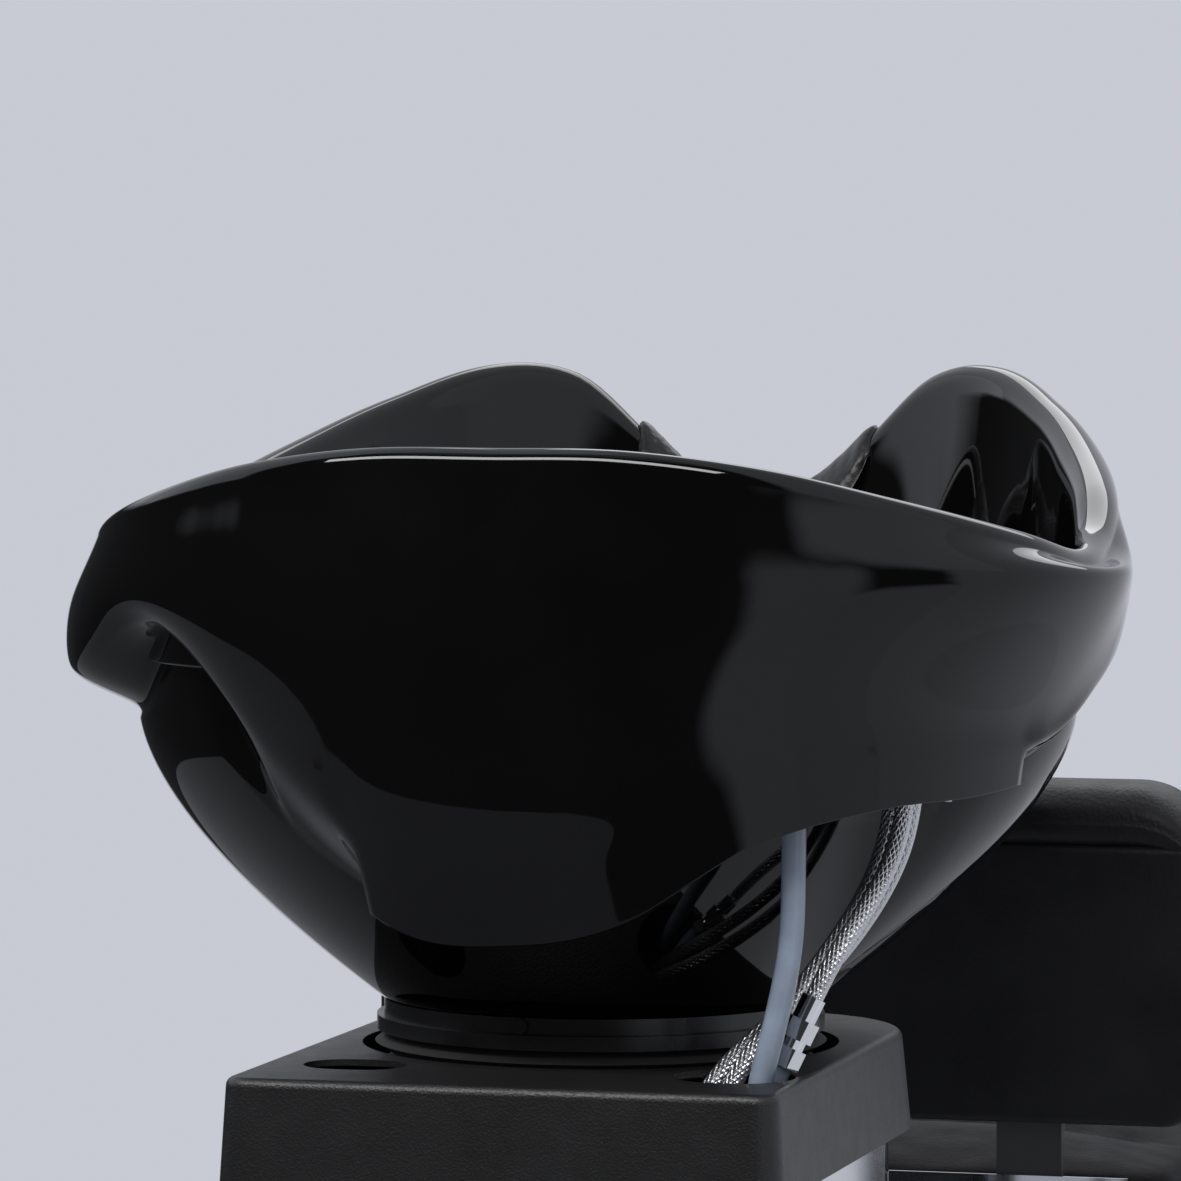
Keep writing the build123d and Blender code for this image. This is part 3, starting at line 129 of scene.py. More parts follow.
right_mid_reach_shares = (0.747, 0.781, 0.828, 0.848, 0.859, 0.886) + front_mid_reach_shares
right_mid_height_shares = (0.407, 0.455, 0.528, 0.528, 0.515, 0.520) + front_mid_height_shares
right_low_reach_shares = (0.630, 0.697, 0.781, 0.818, 0.835, 0.855) + front_low_reach_shares
right_low_height_shares = (0.190, 0.228, 0.341, 0.388, 0.398, 0.423) + front_low_height_shares
right_belly_shares = (0.673, 0.660, 0.640, 0.633, 0.640, 0.781) + front_belly_shares
left_mid_reach_shares = (0.747, 0.768, 0.801, 0.884, 0.973, 0.992) + front_mid_reach_shares
left_mid_height_shares = (0.407, 0.447, 0.515, 0.645, 0.580, 0.575) + front_mid_height_shares
left_low_reach_shares = (0.630, 0.673, 0.707, 0.805, 0.859, 0.886) + front_low_reach_shares
left_low_height_shares = (0.190, 0.211, 0.347, 0.612, 0.515, 0.493) + front_low_height_shares
left_belly_shares = (0.673, 0.684, 0.737, 0.788, 0.842, 0.865) + front_belly_shares
pocket_start = -8.0
pocket_end = 244.0
pocket_blend = 4.0
bowl_columns = 360
edge_smoothing = 5

# Points along the stretches of the basin's section. The open and the soft outside have as many points each.
foot_steps = 12
belly_steps = 34
skirt_top_steps = 8
skirt_inside_steps = 16
skirt_foot_steps = 6
crease_steps = skirt_top_steps + skirt_inside_steps + skirt_foot_steps
outside_steps = 56
lip_steps = 18
inner_side_steps = 18
shelf_steps = 14
inner_steps = 40
floor_steps = 14
bore_steps = 6

# Creases: the left one is sharp at the wing and fades beside the apron, the right one is a long groove
crease_reach = 7.0
crease_fade_reach = 40.0
crease_end_angle = 219.0
crease_fade_angle = 13.0
groove_start = -78.0
groove_end = 8.0
groove_depth = 2.5
left_fullness = 8.0
fullness_angle = 193.0
fullness_spread = 16.0

# Neck pad
pad_from = 78.8
pad_to = 101.4
pad_thickness = 12.0
pad_gap = 1.2
pad_drop = 34.0
pad_wrinkle = 1.1

# Cushions: the side's profile as growth and share of the height, the sewn channels and the welt
cushion_columns = 176
crown_steps = 26
side_profile = ((-0.007, 0.0), (-0.0015, 0.12), (0.0, 0.3), (-0.003, 0.45), (-0.0055, 0.5), (-0.003, 0.55),
                (0.0, 0.7), (-0.002, 0.88), (-0.007, 0.97), (-0.013, 1.0))
crown_inset = 0.013
crown_stop = 0.016
channel_depth = 0.006
channel_width = 0.006
dip_depth = 0.005
dip_width = 0.03
cushion_ripple = 0.0012
welt_radius = 0.0032
welt_inset = 0.004
seat_corner = 0.048
seat_crown = 0.016
seat_channels = (-0.083, 0.083)
leg_half_width = 0.225
leg_thickness = 0.070
leg_crown = 0.012
leg_channels = (-0.065, 0.065)
arm_corner = 0.026
arm_crown = 0.010
arm_welt = 0.3
back_corner = 0.046
back_columns = 100
back_ripple = 0.0015

# Leg rest: its slope, its hinge in millimetres from the ring's centre, and the cushion's reach along it
leg_slope = math.radians(20.0)
leg_hinge_place = (0.0, 968.0, -228.0)
leg_start, leg_end, leg_underside = 0.014, 0.402, 0.0253

# Holes through the deck, in millimetres from the ring's centre: the place, the radius and the two heights
deck_bores = ((190.18, -86.67, 13.6, 150.0, 330.0), (144.5, -149.6, 14.1, 150.0, 330.0))

# Hoses, the same routes as in the part's source, from the ring's centre
shower_hose_route = (
    (144.5, -149.6, 138), (144.5, -149.6, 104), (143.6, -150.2, 72), (137.4, -152, 38),
    (127, -151, 0), (119, -148.6, -46), (115, -150.4, -110), (113, -147, -200),
    (110, -150, -300), (108, -147, -386), (107, -151, -452.7), (105, -125.3, -489.5),
    (103, -82, -503.6), (101, -38.7, -489.5), (100, -13, -452.7), (100.6, -14.4, -390),
    (101.6, -22, -310), (103, -38, -235), (105, -62, -172), (108, -92, -118),
    (113, -120, -66), (122.1, -133.2, -18.1), (132.7, -128.6, 5.2),
)
outlet_hose_route = (
    (191.9, -93, 184), (191.9, -93, 160), (190.4, -90.4, 136), (184.6, -94, 112),
    (173.6, -102.4, 88), (159, -117, 63), (149, -121.4, 41),
)
hot_hose_route = (
    (183.9, -85, 184), (183.9, -85, 160), (181.6, -80.6, 134), (175.6, -83, 109),
    (164, -90.6, 83), (147, -101.6, 56), (127.4, -116, 28), (108, -129, 0),
    (91, -135, -44), (80, -141, -100), (75, -137, -180), (78, -142, -280),
    (73, -138, -390), (70, -140, -480), (70, -140, -540),
)
cold_hose_route = (
    (194.8, -82, 184), (194.8, -82, 160), (191, -75, 136), (183.6, -69.6, 111),
    (170, -73, 84), (151, -85, 56), (125.6, -103.4, 28), (96.4, -121.4, 0),
    (76, -133, -40), (57, -139, -94), (47, -135, -170), (50, -141, -270),
    (42, -137, -380), (38, -140, -480), (38, -140, -540),
)
split_index = 6
shower_hose_diameter = 13.0
braid_diameter = 10.0
braid_wires = 12.0
braid_turns = 190.0


def basin_point(point):
    """A point given in millimetres from the ring's centre, in the frame."""
    return Vector((axis_x + point[0] * MM, axis_y + point[1] * MM, cover_top + point[2] * MM))


def linked(name, data):
    """An object in the scene, for a mesh, a curve, a lamp or a camera."""
    item = bpy.data.objects.new(name, data)
    bpy.context.collection.objects.link(item)
    return item


def new_object(name, verts, faces, material, smooth=True):
    """A mesh object with one material."""
    mesh = bpy.data.meshes.new(name)
    mesh.from_pydata([tuple(v) for v in verts], [], faces)
    mesh.materials.append(material)
    mesh.polygons.foreach_set("use_smooth", [smooth] * len(mesh.polygons))
    mesh.update()
    return linked(name, mesh)


def grid_faces(columns, rows, close_columns=True, close_rows=True):
    """Quads of a grid whose vertex index is column * rows + row."""
    faces = []
    for i in range(columns if close_columns else columns - 1):
        j = (i + 1) % columns
        for k in range(rows if close_rows else rows - 1):
            m = (k + 1) % rows
            faces.append((i * rows + k, j * rows + k, j * rows + m, i * rows + m))
    return faces


# Materials


def tree_of(name):
    """A new material with its nodes, its links and its shader."""
    material = bpy.data.materials.new(name)
    material.use_nodes = True
    tree = material.node_tree
    return material, tree, tree.nodes["Principled BSDF"]


def preset(node, **values):
    """Fixed values on a node's sockets. A socket's name has _ for a space."""
    for name, value in values.items():
        node.inputs[name.replace("_", " ")].default_value = value


def stretched(tree, place, scale):
    """A texture coordinate with another scale along each axis."""
    node = tree.nodes.new("ShaderNodeMapping")
    preset(node, Scale=scale)
    tree.links.new(place, node.inputs["Vector"])
    return node.outputs["Vector"]


def split_xyz(tree, value):
    """The three parts of a vector."""
    node = tree.nodes.new("ShaderNodeSeparateXYZ")
    tree.links.new(value, node.inputs["Vector"])
    return node.outputs


def coordinates(tree, kind="Object"):
    """The texture coordinate socket of one kind."""
    return tree.nodes.new("ShaderNodeTexCoord").outputs[kind]


def math_socket(tree, kind, first, second=None):
    """The result of one sum on sockets or numbers."""
    node = tree.nodes.new("ShaderNodeMath")
    node.operation = kind
    for place, value in zip(node.inputs, (first, second)):
        if isinstance(value, (int, float)):
            place.default_value = value
        elif value is not None:
            tree.links.new(value, place)
    return node.outputs["Value"]


def soft_step(tree, value, place, width):
    """From 0 to 1 across a place."""
    node = tree.nodes.new("ShaderNodeMapRange")
    node.interpolation_type = "SMOOTHSTEP"
    tree.links.new(value, node.inputs["Value"])
    preset(node, From_Min=place - width / 2, From_Max=place + width / 2)
    return node.outputs["Result"]


def noise_socket(tree, place, scale, detail=4.0, roughness=0.5):
    """A noise texture's value."""
    node = tree.nodes.new("ShaderNodeTexNoise")
    tree.links.new(place, node.inputs["Vector"])
    preset(node, Scale=scale, Detail=detail, Roughness=roughness)
    return node.outputs["Fac"]


def cell_socket(tree, place, scale):
    """The distance to a cell's edge, for leather and moulded grain."""
    node = tree.nodes.new("ShaderNodeTexVoronoi")
    node.feature = "SMOOTH_F1"
    tree.links.new(place, node.inputs["Vector"])
    preset(node, Scale=scale)
    return node.outputs["Distance"]


def ramp_color(tree, value, dark, light, low=0.35, high=0.65):
    """A colour between two by a value."""
    node = tree.nodes.new("ShaderNodeValToRGB")
    node.color_ramp.elements[0].position = low
    node.color_ramp.elements[1].position = high
    node.color_ramp.elements[0].color = (*dark, 1)
    node.color_ramp.elements[1].color = (*light, 1)
    tree.links.new(value, node.inputs["Fac"])
    return node.outputs["Color"]


def map_value(tree, value, low, high):
    """A value spread over a range."""
    node = tree.nodes.new("ShaderNodeMapRange")
    tree.links.new(value, node.inputs["Value"])
    preset(node, From_Min=0.3, From_Max=0.7, To_Min=low, To_Max=high)
    return node.outputs["Result"]


def add_bump(tree, shader, height, distance, strength=1.0):
    """A bump on the shader, on top of what is there."""
    node = tree.nodes.new("ShaderNodeBump")
    preset(node, Distance=distance, Strength=strength)
    tree.links.new(height, node.inputs["Height"])
    if shader.inputs["Normal"].links:
        tree.links.new(shader.inputs["Normal"].links[0].from_socket, node.inputs["Normal"])
    tree.links.new(node.outputs["Normal"], shader.inputs["Normal"])


def surface(name, dark, light, rough, metal=0.0, blotch=8.0):
    """A material with a little colour and roughness variation, and its tree for more."""
    material, tree, shader = tree_of(name)
    place = coordinates(tree)
    value = noise_socket(tree, place, blotch)
    tree.links.new(ramp_color(tree, value, dark, light), shader.inputs["Base Color"])
    value = noise_socket(tree, place, blotch * 3)
    tree.links.new(map_value(tree, value, *rough), shader.inputs["Roughness"])
    preset(shader, Metallic=metal)
    return material, tree, shader, place


def ceramic():
    """Mirror-gloss black glaze, with the faint waviness of fired ware."""
    material, tree, shader, place = surface("black_glaze", (0.0015, 0.0015, 0.0015), (0.0025, 0.0025, 0.0027),
                                            (0.02, 0.05))
    preset(shader, IOR=1.48, Specular_IOR_Level=0.38)
    add_bump(tree, shader, noise_socket(tree, place, 14.0, 1.0), 0.0006, 0.12)
    return material


def moulded_plastic(name, dark, light, rough):
    """Grained plastic of the pedestal cover."""
    material, tree, shader, place = surface(name, dark, light, rough, blotch=20.0)
    preset(shader, IOR=1.5)
    add_bump(tree, shader, cell_socket(tree, place, 850.0), 0.0004, 0.55)
    add_bump(tree, shader, noise_socket(tree, place, 1600.0, 2.0), 0.00015, 0.5)
    return material


def satin_plastic(name, dark, light, rough):
    """Plain satin plastic or paint with a fine skin."""
    material, tree, shader, place = surface(name, dark, light, rough)
    add_bump(tree, shader, noise_socket(tree, place, 900.0, 2.0), 0.0001, 0.3)
    return material


def polished_metal(name, dark, light, rough):
    """Polished or plated metal with faint rubbing marks."""
    material, tree, shader, place = surface(name, dark, light, rough, metal=1.0)
    rubbed = noise_socket(tree, stretched(tree, place, (1.0, 1.0, 0.04)), 700.0, 3.0)
    add_bump(tree, shader, rubbed, 0.00004, 0.12)
    return material


def leatherette(name, dark, light, rough, pore=420.0, depth=0.0005, gloss=0.3):
    """Coated upholstery fabric: small pores, soft colour and a sheen."""
    material, tree, shader, place = surface(name, dark, light, rough, blotch=14.0)
    add_bump(tree, shader, noise_socket(tree, place, 9.0, 3.0), 0.004, 0.25)
    add_bump(tree, shader, cell_socket(tree, place, pore), depth, 0.5)
    add_bump(tree, shader, noise_socket(tree, place, pore * 4, 2.0), depth / 3, 0.4)
    preset(shader, Specular_IOR_Level=gloss, Sheen_Weight=0.03, Sheen_Roughness=0.5)
    return material


def plywood():
    """Plain birch board with long grain."""
    material, tree, shader = tree_of("birch_board")
    grain = noise_socket(tree, stretched(tree, coordinates(tree), (12.0, 1.0, 12.0)), 6.0, 6.0, 0.6)
    color = ramp_color(tree, grain, (0.30, 0.20, 0.11), (0.46, 0.34, 0.21))
    tree.links.new(color, shader.inputs["Base Color"])
    preset(shader, Roughness=0.55)
    add_bump(tree, shader, grain, 0.0006, 0.3)
    return material


def hose_skin():
    """Satin grey-blue hose, with faint lengthwise drawing marks."""
    material, tree, shader, place = surface("hose_skin", (0.20, 0.24, 0.31), (0.25, 0.30, 0.38), (0.28, 0.36),
                                            blotch=40.0)
    drawn = noise_socket(tree, stretched(tree, place, (1.0, 1.0, 0.02)), 900.0, 2.0)
    add_bump(tree, shader, drawn, 0.0002, 0.3)
    preset(shader, Coat_Weight=0.3, Coat_Roughness=0.2)
    return material


def braid():
    """Woven stainless wires: two crossed sets of helical strands that pass over and under."""
    material, tree, shader = tree_of("steel_braid")
    sums = partial(math_socket, tree)
    place = split_xyz(tree, coordinates(tree, "UV"))
    around = sums("MULTIPLY", place["X"], braid_wires * math.tau)
    length = sums("MULTIPLY", place["Y"], braid_turns * math.tau)
    one = sums("SINE", sums("ADD", around, length))
    two = sums("SINE", sums("SUBTRACT", around, length))
    over = sums("SINE", around)
    cross = sums("MULTIPLY", sums("SINE", length), over)
    first = sums("MULTIPLY", one, sums("ADD", cross, 1.0))
    second = sums("MULTIPLY", two, sums("SUBTRACT", 1.0, cross))
    weave = sums("MAXIMUM", first, second)
    value = sums("MULTIPLY_ADD", weave, 0.25)
    tree.links.new(ramp_color(tree, value, (0.10, 0.10, 0.11), (0.68, 0.69, 0.71), 0.0, 0.4),
                   shader.inputs["Base Color"])
    preset(shader, Metallic=1.0, Roughness=0.32)
    add_bump(tree, shader, weave, 0.0006, 0.6)
    return material


glaze = ceramic()
cover_plastic = moulded_plastic("grained_plastic", (0.0065, 0.0065, 0.007), (0.0085, 0.0085, 0.0092),
                                (0.41, 0.46))
ring_black = satin_plastic("satin_black", (0.005, 0.005, 0.0055), (0.008, 0.008, 0.009), (0.24, 0.34))
powder = satin_plastic("powder_coat", (0.03, 0.03, 0.033), (0.045, 0.045, 0.048), (0.5, 0.6))
grey_plastic = satin_plastic("grey_plastic", (0.07, 0.07, 0.075), (0.1, 0.1, 0.105), (0.4, 0.5))
rubber = satin_plastic("rubber", (0.015, 0.015, 0.016), (0.025, 0.025, 0.026), (0.65, 0.75))
mirror_steel = polished_metal("mirror_steel", (0.61, 0.62, 0.64), (0.65, 0.66, 0.68), (0.06, 0.075))
chrome = polished_metal("chrome", (0.74, 0.75, 0.77), (0.8, 0.81, 0.83), (0.03, 0.07))
zinc = polished_metal("zinc", (0.45, 0.46, 0.48), (0.58, 0.59, 0.6), (0.25, 0.4))
brass = polished_metal("brass", (0.50, 0.36, 0.15), (0.66, 0.50, 0.24), (0.18, 0.3))
black_hide = leatherette("black_leatherette", (0.006, 0.006, 0.007), (0.012, 0.012, 0.014), (0.46, 0.58))
seat_hide = leatherette("seat_leatherette", (0.006, 0.006, 0.007), (0.012, 0.012, 0.014), (0.62, 0.72),
                        gloss=0.1)
gel_skin = leatherette("gel_skin", (0.008, 0.008, 0.009), (0.016, 0.016, 0.018), (0.26, 0.38), 260.0, 0.0007)
board = plywood()
hose_grey = hose_skin()
steel_braid = braid()

node_materials = {
    cover_plastic: ("pedestal_cover",),
    mirror_steel: ("pedestal_column", "service_hatch", "seat_base", "link_beam", "arm_frame_left",
                   "arm_frame_right"),
    powder: ("base_plate", "support_post", "tilt_bracket", "foot_brackets", "back_uprights", "leg_arms",
             "leg_brackets"),
    ring_black: ("tilt_plate", "tilt_collar", "collar_screws"),
    zinc: ("hinge_pins", "bracket_bolts", "hatch_screws", "leg_pins", "lever_pin", "fixing_stud"),
    chrome: ("mixer_body", "mixer_hub", "mixer_lever", "shower_sleeve", "hand_shower", "hose_nut",
             "union_fitting", "union_nuts", "drain_strainer"),
    brass: ("mixer_nut", "sleeve_nut", "fixing_nut", "hot_inlet", "cold_inlet"),
    rubber: ("waste_hose", "spray_plate", "levelling_feet", "tilt_boot"),
    grey_plastic: ("waste_tail", "waste_nut", "waste_spigot"),
    board: ("seat_pan", "leg_board"),
    black_hide: ("back_panel", "seat_cushion", "back_cushion", "leg_cushion", "arm_pad_left", "arm_pad_right"),
}
for material, nodes in node_materials.items():
    for node in nodes:
        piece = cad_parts[node]
        piece.data.materials.clear()
        piece.data.materials.append(material)

# Basin


def around_table(right, left):
    """A table for the whole turn: the right half forward, then the left half backward."""
    return list(right) + list(reversed(left[1:-1]))


all_angles = list(section_angles) + [180 - angle for angle in reversed(section_angles[1:-1])]
wall_tables = {key: around_table(right, left) for key, right, left in (
    ("lip", lip_shares, lip_shares),
    ("rim", rim_reach_shares, rim_reach_shares),
    ("rim_z", rim_height_shares, rim_height_shares),
    ("roll", roll_reach_shares, roll_reach_shares),
    ("roll_z", roll_height_shares, left_roll_height_shares),
    ("shelf", shelf_out_shares, shelf_out_shares),
    ("mid", right_mid_reach_shares, left_mid_reach_shares),
    ("mid_z", right_mid_height_shares, left_mid_height_shares),
    ("low", right_low_reach_shares, left_low_reach_shares),
    ("low_z", right_low_height_shares, left_low_height_shares),
    ("belly", right_belly_shares, left_belly_shares),
)}


def around(table, angle):
    """A smooth value from a table round the whole turn."""
    count = len(all_angles)
    index = max(i for i in range(count) if all_angles[i] <= angle)

    def at(i):
        turns, rest = divmod(i, count)
        return all_angles[rest] + 360 * turns, table[rest]
    (a0, v0), (a1, v1), (a2, v2), (a3, v3) = (at(index + step) for step in (-1, 0, 1, 2))
    t = (angle - a1) / (a2 - a1)
    m1 = (v2 - v0) / (a2 - a0) * (a2 - a1)
    m2 = (v3 - v1) / (a3 - a1) * (a2 - a1)
    return ((2 * t ** 3 - 3 * t ** 2 + 1) * v1 + (t ** 3 - 2 * t ** 2 + t) * m1
            + (3 * t ** 2 - 2 * t ** 3) * v2 + (t ** 3 - t ** 2) * m2)


def wall_sizes(angle):
    """The wall's sizes at an angle, in millimetres."""
    share = {key: around(table, angle) for key, table in wall_tables.items()}
    return {key: value * (bowl_height if key.endswith("_z") else bowl_half_width)
            for key, value in share.items()}


def belly_reach(belly, height):
    """The reach of the belly at a height."""
    share = min(1.0, max(0.0, (height - foot_height) / (belly_height - foot_height)))
    return foot_radius + (belly - foot_radius) * (1 - (1 - share) ** belly_power)


def eased(count):
    """Shares from 0 to just under 1, closer together at both ends."""
    return [0.5 - 0.5 * math.cos(math.pi * i / count) for i in range(count)]


def straight(first, second, count):
    """Points along a line, without its last."""
    return [tuple(a + (b - a) * t for a, b in zip(first, second)) for t in eased(count)]


def curve_through(points, count, before=None, after=None):
    """Points along a smooth curve through a few points, without its last."""
    points = [Vector(point) for point in points]
    before = Vector(before) if before else 2 * points[0] - points[1]
    after = Vector(after) if after else 2 * points[-1] - points[-2]
    padded = [before] + points + [after]
    result = []
    spans = len(points) - 1
    for t in eased(count):
        place = t * spans
        index = min(int(place), spans - 1)
        u = place - index
        a, b, c, d = padded[index:index + 4]
        value = 0.5 * (2 * b + (c - a) * u + (2 * a - 5 * b + 4 * c - d) * u ** 2
                       + (3 * b - a - 3 * c + d) * u ** 3)
        result.append(tuple(value))
    return result


def arc_through(first, middle, last, count):
    """Points along the circle through three points, without its last."""
    (ax, ay), (bx, by), (cx, cy) = first, middle, last
    scale = 2 * (ax * (by - cy) + bx * (cy - ay) + cx * (ay - by))
    aa, bb, cc = ax * ax + ay * ay, bx * bx + by * by, cx * cx + cy * cy
    ux = (aa * (by - cy) + bb * (cy - ay) + cc * (ay - by)) / scale
    uy = (aa * (cx - bx) + bb * (ax - cx) + cc * (bx - ax)) / scale
    radius = math.hypot(ax - ux, ay - uy)
    start = math.atan2(ay - uy, ax - ux)
    end = math.atan2(cy - uy, cx - ux)
    if end < start:
        end += math.tau
    return [(ux + radius * math.cos(start + (end - start) * i / count),
             uy + radius * math.sin(start + (end - start) * i / count)) for i in range(count)]


def pocket_share(angle):
    """How far the hollow under the skirt is open at an angle, from 0 to 1."""
    inside = (pocket_start - angle) if angle < 90 else (angle - pocket_end)
    return min(1.0, max(0.0, inside / pocket_blend))


def mix(first, second, share):
    """A point between two."""
    return tuple(a + (b - a) * share for a, b in zip(first, second))


def crease_softness(angle):
    """How far below its crease the wall starts to curve out, widest where the crease ends beside the apron."""
    fade = math.exp(-((angle - crease_end_angle) / crease_fade_angle) ** 2)
    return crease_reach + crease_fade_reach * fade


def side_wave(angle):
    """The share of the long groove along the skirt's right side, from 0 to 1."""
    share = (angle - groove_start) / (groove_end - groove_start)
    return math.sin(math.pi * share) ** 0.7 if 0 < share < 1 else 0.0


def soft_outside(s, angle, low, swell, mid, roll, lip_out):
    """The outside where the wing meets the belly in a rounded crease, from the foot to the lip."""
    start = s["low_z"] - crease_softness(angle)
    points = [(belly_reach(s["belly"], foot_height + (start - foot_height) * t),
               foot_height + (start - foot_height) * t) for t in eased(belly_steps)]
    bottom = (belly_reach(s["belly"], start), start)
    crease = (min(low[0], belly_reach(s["belly"], low[1]) + 2), low[1])
    under = start - (low[1] - start)
    points += curve_through([bottom, crease], crease_steps, (belly_reach(s["belly"], under), under), swell)
    return points + curve_through([crease, swell, mid, roll, lip_out], outside_steps, bottom)


def wall_section(angle):
    """The closed section of the basin's wall at an angle, as reach and height."""
    s = wall_sizes(angle)
    open_share = pocket_share(angle)
    wave = side_wave(angle)
    low, roll = (s["low"], s["low_z"]), (s["roll"], s["roll_z"])
    mid = (s["mid"] - groove_depth * wave, s["mid_z"])
    full = left_fullness * math.exp(-((angle - fullness_angle) / fullness_spread) ** 2)
    swell = ((low[0] + mid[0]) / 2 + full, (low[1] + mid[1]) / 2)
    lip_out = (s["rim"] + s["lip"], s["rim_z"] - s["lip"])
    lip_in = (s["rim"] - s["lip"], s["rim_z"] - s["lip"])
    top = low[1] + open_share * (shelf_height - wall - low[1])
    outer = [(belly_reach(s["belly"], foot_height + (top - foot_height) * t),
              foot_height + (top - foot_height) * t) for t in eased(belly_steps)]
    share = max(0.0, (top - mid[1]) / (roll[1] - mid[1]))
    reach = mid[0] + (roll[0] - mid[0]) * share - wall
    reach = max(reach, belly_reach(s["belly"], top) + 4)
    skirt_top = mix(low, (reach, top), open_share)
    skirt_foot = mix(low, (low[0] - wall, low[1]), open_share)
    middle = mix(low, ((mid[0] + low[0]) / 2 - wall, (low[1] + top) / 2), open_share)
    shelf_in = (s["belly"] - wall, shelf_height)
    shelf_out = (max(s["shelf"], shelf_in[0] + wall / 2), shelf_height)
    inner = []
    for t in inner_share_steps:
        height = floor_height + (shelf_height - floor_height) * t
        inner.append((belly_reach(s["belly"], height) - wall, height))
    floor_edge = (floor_radius, floor_height)
    outer += straight((belly_reach(s["belly"], top), top), skirt_top, skirt_top_steps)
    outer += curve_through([skirt_top, middle, skirt_foot], skirt_inside_steps)
    outer += straight(skirt_foot, low, skirt_foot_steps)
    outer += curve_through([low, swell, mid, roll, lip_out], outside_steps)
    soft = soft_outside(s, angle, low, swell, mid, roll, lip_out)
    points = straight((bore_radius, foot_height), (foot_radius, foot_height), foot_steps)
    points += [mix(a, b, open_share) for a, b in zip(soft, outer)]
    points += arc_through(lip_out, (s["rim"], s["rim_z"]), lip_in, lip_steps)
    points += straight(lip_in, shelf_out, inner_side_steps)
    points += straight(shelf_out, shelf_in, shelf_steps)
    points += curve_through([shelf_in] + inner + [floor_edge], inner_steps)
    points += straight(floor_edge, (bore_radius, floor_height), floor_steps)
    points += straight((bore_radius, floor_height), (bore_radius, foot_height), bore_steps)
    return points


def round_edges(points, times):
    """Round a closed section's corners by averaging neighbours."""
    for _ in range(times):
        count = len(points)
        points = [((points[i - 1][0] + 2 * points[i][0] + points[(i + 1) % count][0]) / 4,
                   (points[i - 1][1] + 2 * points[i][1] + points[(i + 1) % count][1]) / 4)
                  for i in range(count)]
    return points


def turned(point, angle):
    """A reach and a height at an angle, as a point in the frame."""
    turn = math.radians(angle)
    return basin_point((point[0] * math.cos(turn), point[0] * math.sin(turn), point[1]))


def bore_through(piece, bore, sides=64):
    """Cut a round upright hole through a piece's mesh."""
    x, y, radius, low, high = bore
    verts = []
    for height in (low, high):
        for k in range(sides):
            turn = math.tau * k / sides
            verts.append(basin_point((x + radius * math.cos(turn), y + radius * math.sin(turn), height)))
    faces = grid_faces(2, sides, close_columns=False)
    faces = [tuple(reversed(face)) for face in faces]
    faces += [tuple(reversed(range(sides))), tuple(range(sides, 2 * sides))]
    cutter = new_object("cutter", verts, faces, piece.data.materials[0], smooth=False)
    modifier = piece.modifiers.new("bore", "BOOLEAN")
    modifier.operation = "DIFFERENCE"
    modifier.solver = "EXACT"
    modifier.object = cutter
    graph = bpy.context.evaluated_depsgraph_get()
    mesh = bpy.data.meshes.new_from_object(piece.evaluated_get(graph))
    piece.modifiers.clear()
    piece.data = mesh
    bpy.data.objects.remove(cutter)


def bowl_mesh():
    """The glazed basin."""
    sections = [-90 + 360 * i / bowl_columns for i in range(bowl_columns)]
    verts, rows = [], 0
    for angle in sections:
        points = round_edges(wall_section(angle), edge_smoothing)
        rows = len(points)
        verts += [turned(point, angle) for point in points]
    piece = new_object("glazed_basin", verts, grid_faces(bowl_columns, rows), glaze)
    for bore in deck_bores:
        bore_through(piece, bore)
    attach(piece, "basin")
    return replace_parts(piece, "bowl")


def neck_pad():
    """The gel pad: a wrinkled skin over the lip between the wings."""
    columns, verts = 90, []
    for i in range(columns):
        share = i / (columns - 1)
        angle = pad_from + (pad_to - pad_from) * share
        s = wall_sizes(angle)
        end = math.sqrt(max(0.0, 1 - abs(2 * share - 1) ** 2.6))
        near, thick = s["lip"] + pad_gap * (0.3 + 0.7 * end), pad_thickness * (0.06 + 0.94 * end)
        far = near + thick
        lean = (s["rim"] - s["lip"] - s["shelf"]) / (s["rim_z"] - s["lip"] - shelf_height)
        top = s["rim_z"] - s["lip"]
        out = max(s["roll"], s["rim"] + s["lip"]) - s["rim"] - s["lip"]
        drop = pad_drop * (0.12 + 0.88 * end) * (0.93 + 0.07 * math.sin(share * 9))
        under = [(s["rim"] + near + out, top - drop), (s["rim"] + near, top)]
        under += arc_through((s["rim"] + near, top), (s["rim"], top + near), (s["rim"] - near, top), 10)
        under += [(s["rim"] - near, top), (s["rim"] - near - lean * drop, top - drop)]
        over = curve_through([(s["rim"] - far - lean * drop, top - drop), (s["rim"] - far, top),
                              (s["rim"], top + far), (s["rim"] + far, top),
                              (s["rim"] + far + out, top - drop)], 60)
        section = under + over + [(s["rim"] + far + out, top - drop)]
        section = round_edges(section, 3)
        for k, point in enumerate(section):
            if k >= len(under):
                fold = noise.noise(Vector((share * 14, k * 0.05, 3.0)))
                fold += 0.5 * noise.noise(Vector((share * 34, k * 0.09, 8.0)))
                middle = (s["rim"], top)
                away = Vector((point[0] - middle[0], point[1] - middle[1])).normalized()
                point = (point[0] + away.x * fold * pad_wrinkle, point[1] + away.y * fold * pad_wrinkle)
            verts.append(turned(point, angle))
        rows = len(section)
    faces = grid_faces(columns, rows, close_columns=False)
    faces += [tuple(range(rows)), tuple(reversed(range((columns - 1) * rows, columns * rows)))]
    piece = new_object("gel_neck_pad", verts, faces, gel_skin)
    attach(piece, "basin")
    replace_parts(piece, "neck_rest")
    return piece


bowl_mesh()
neck_pad()

# Hoses


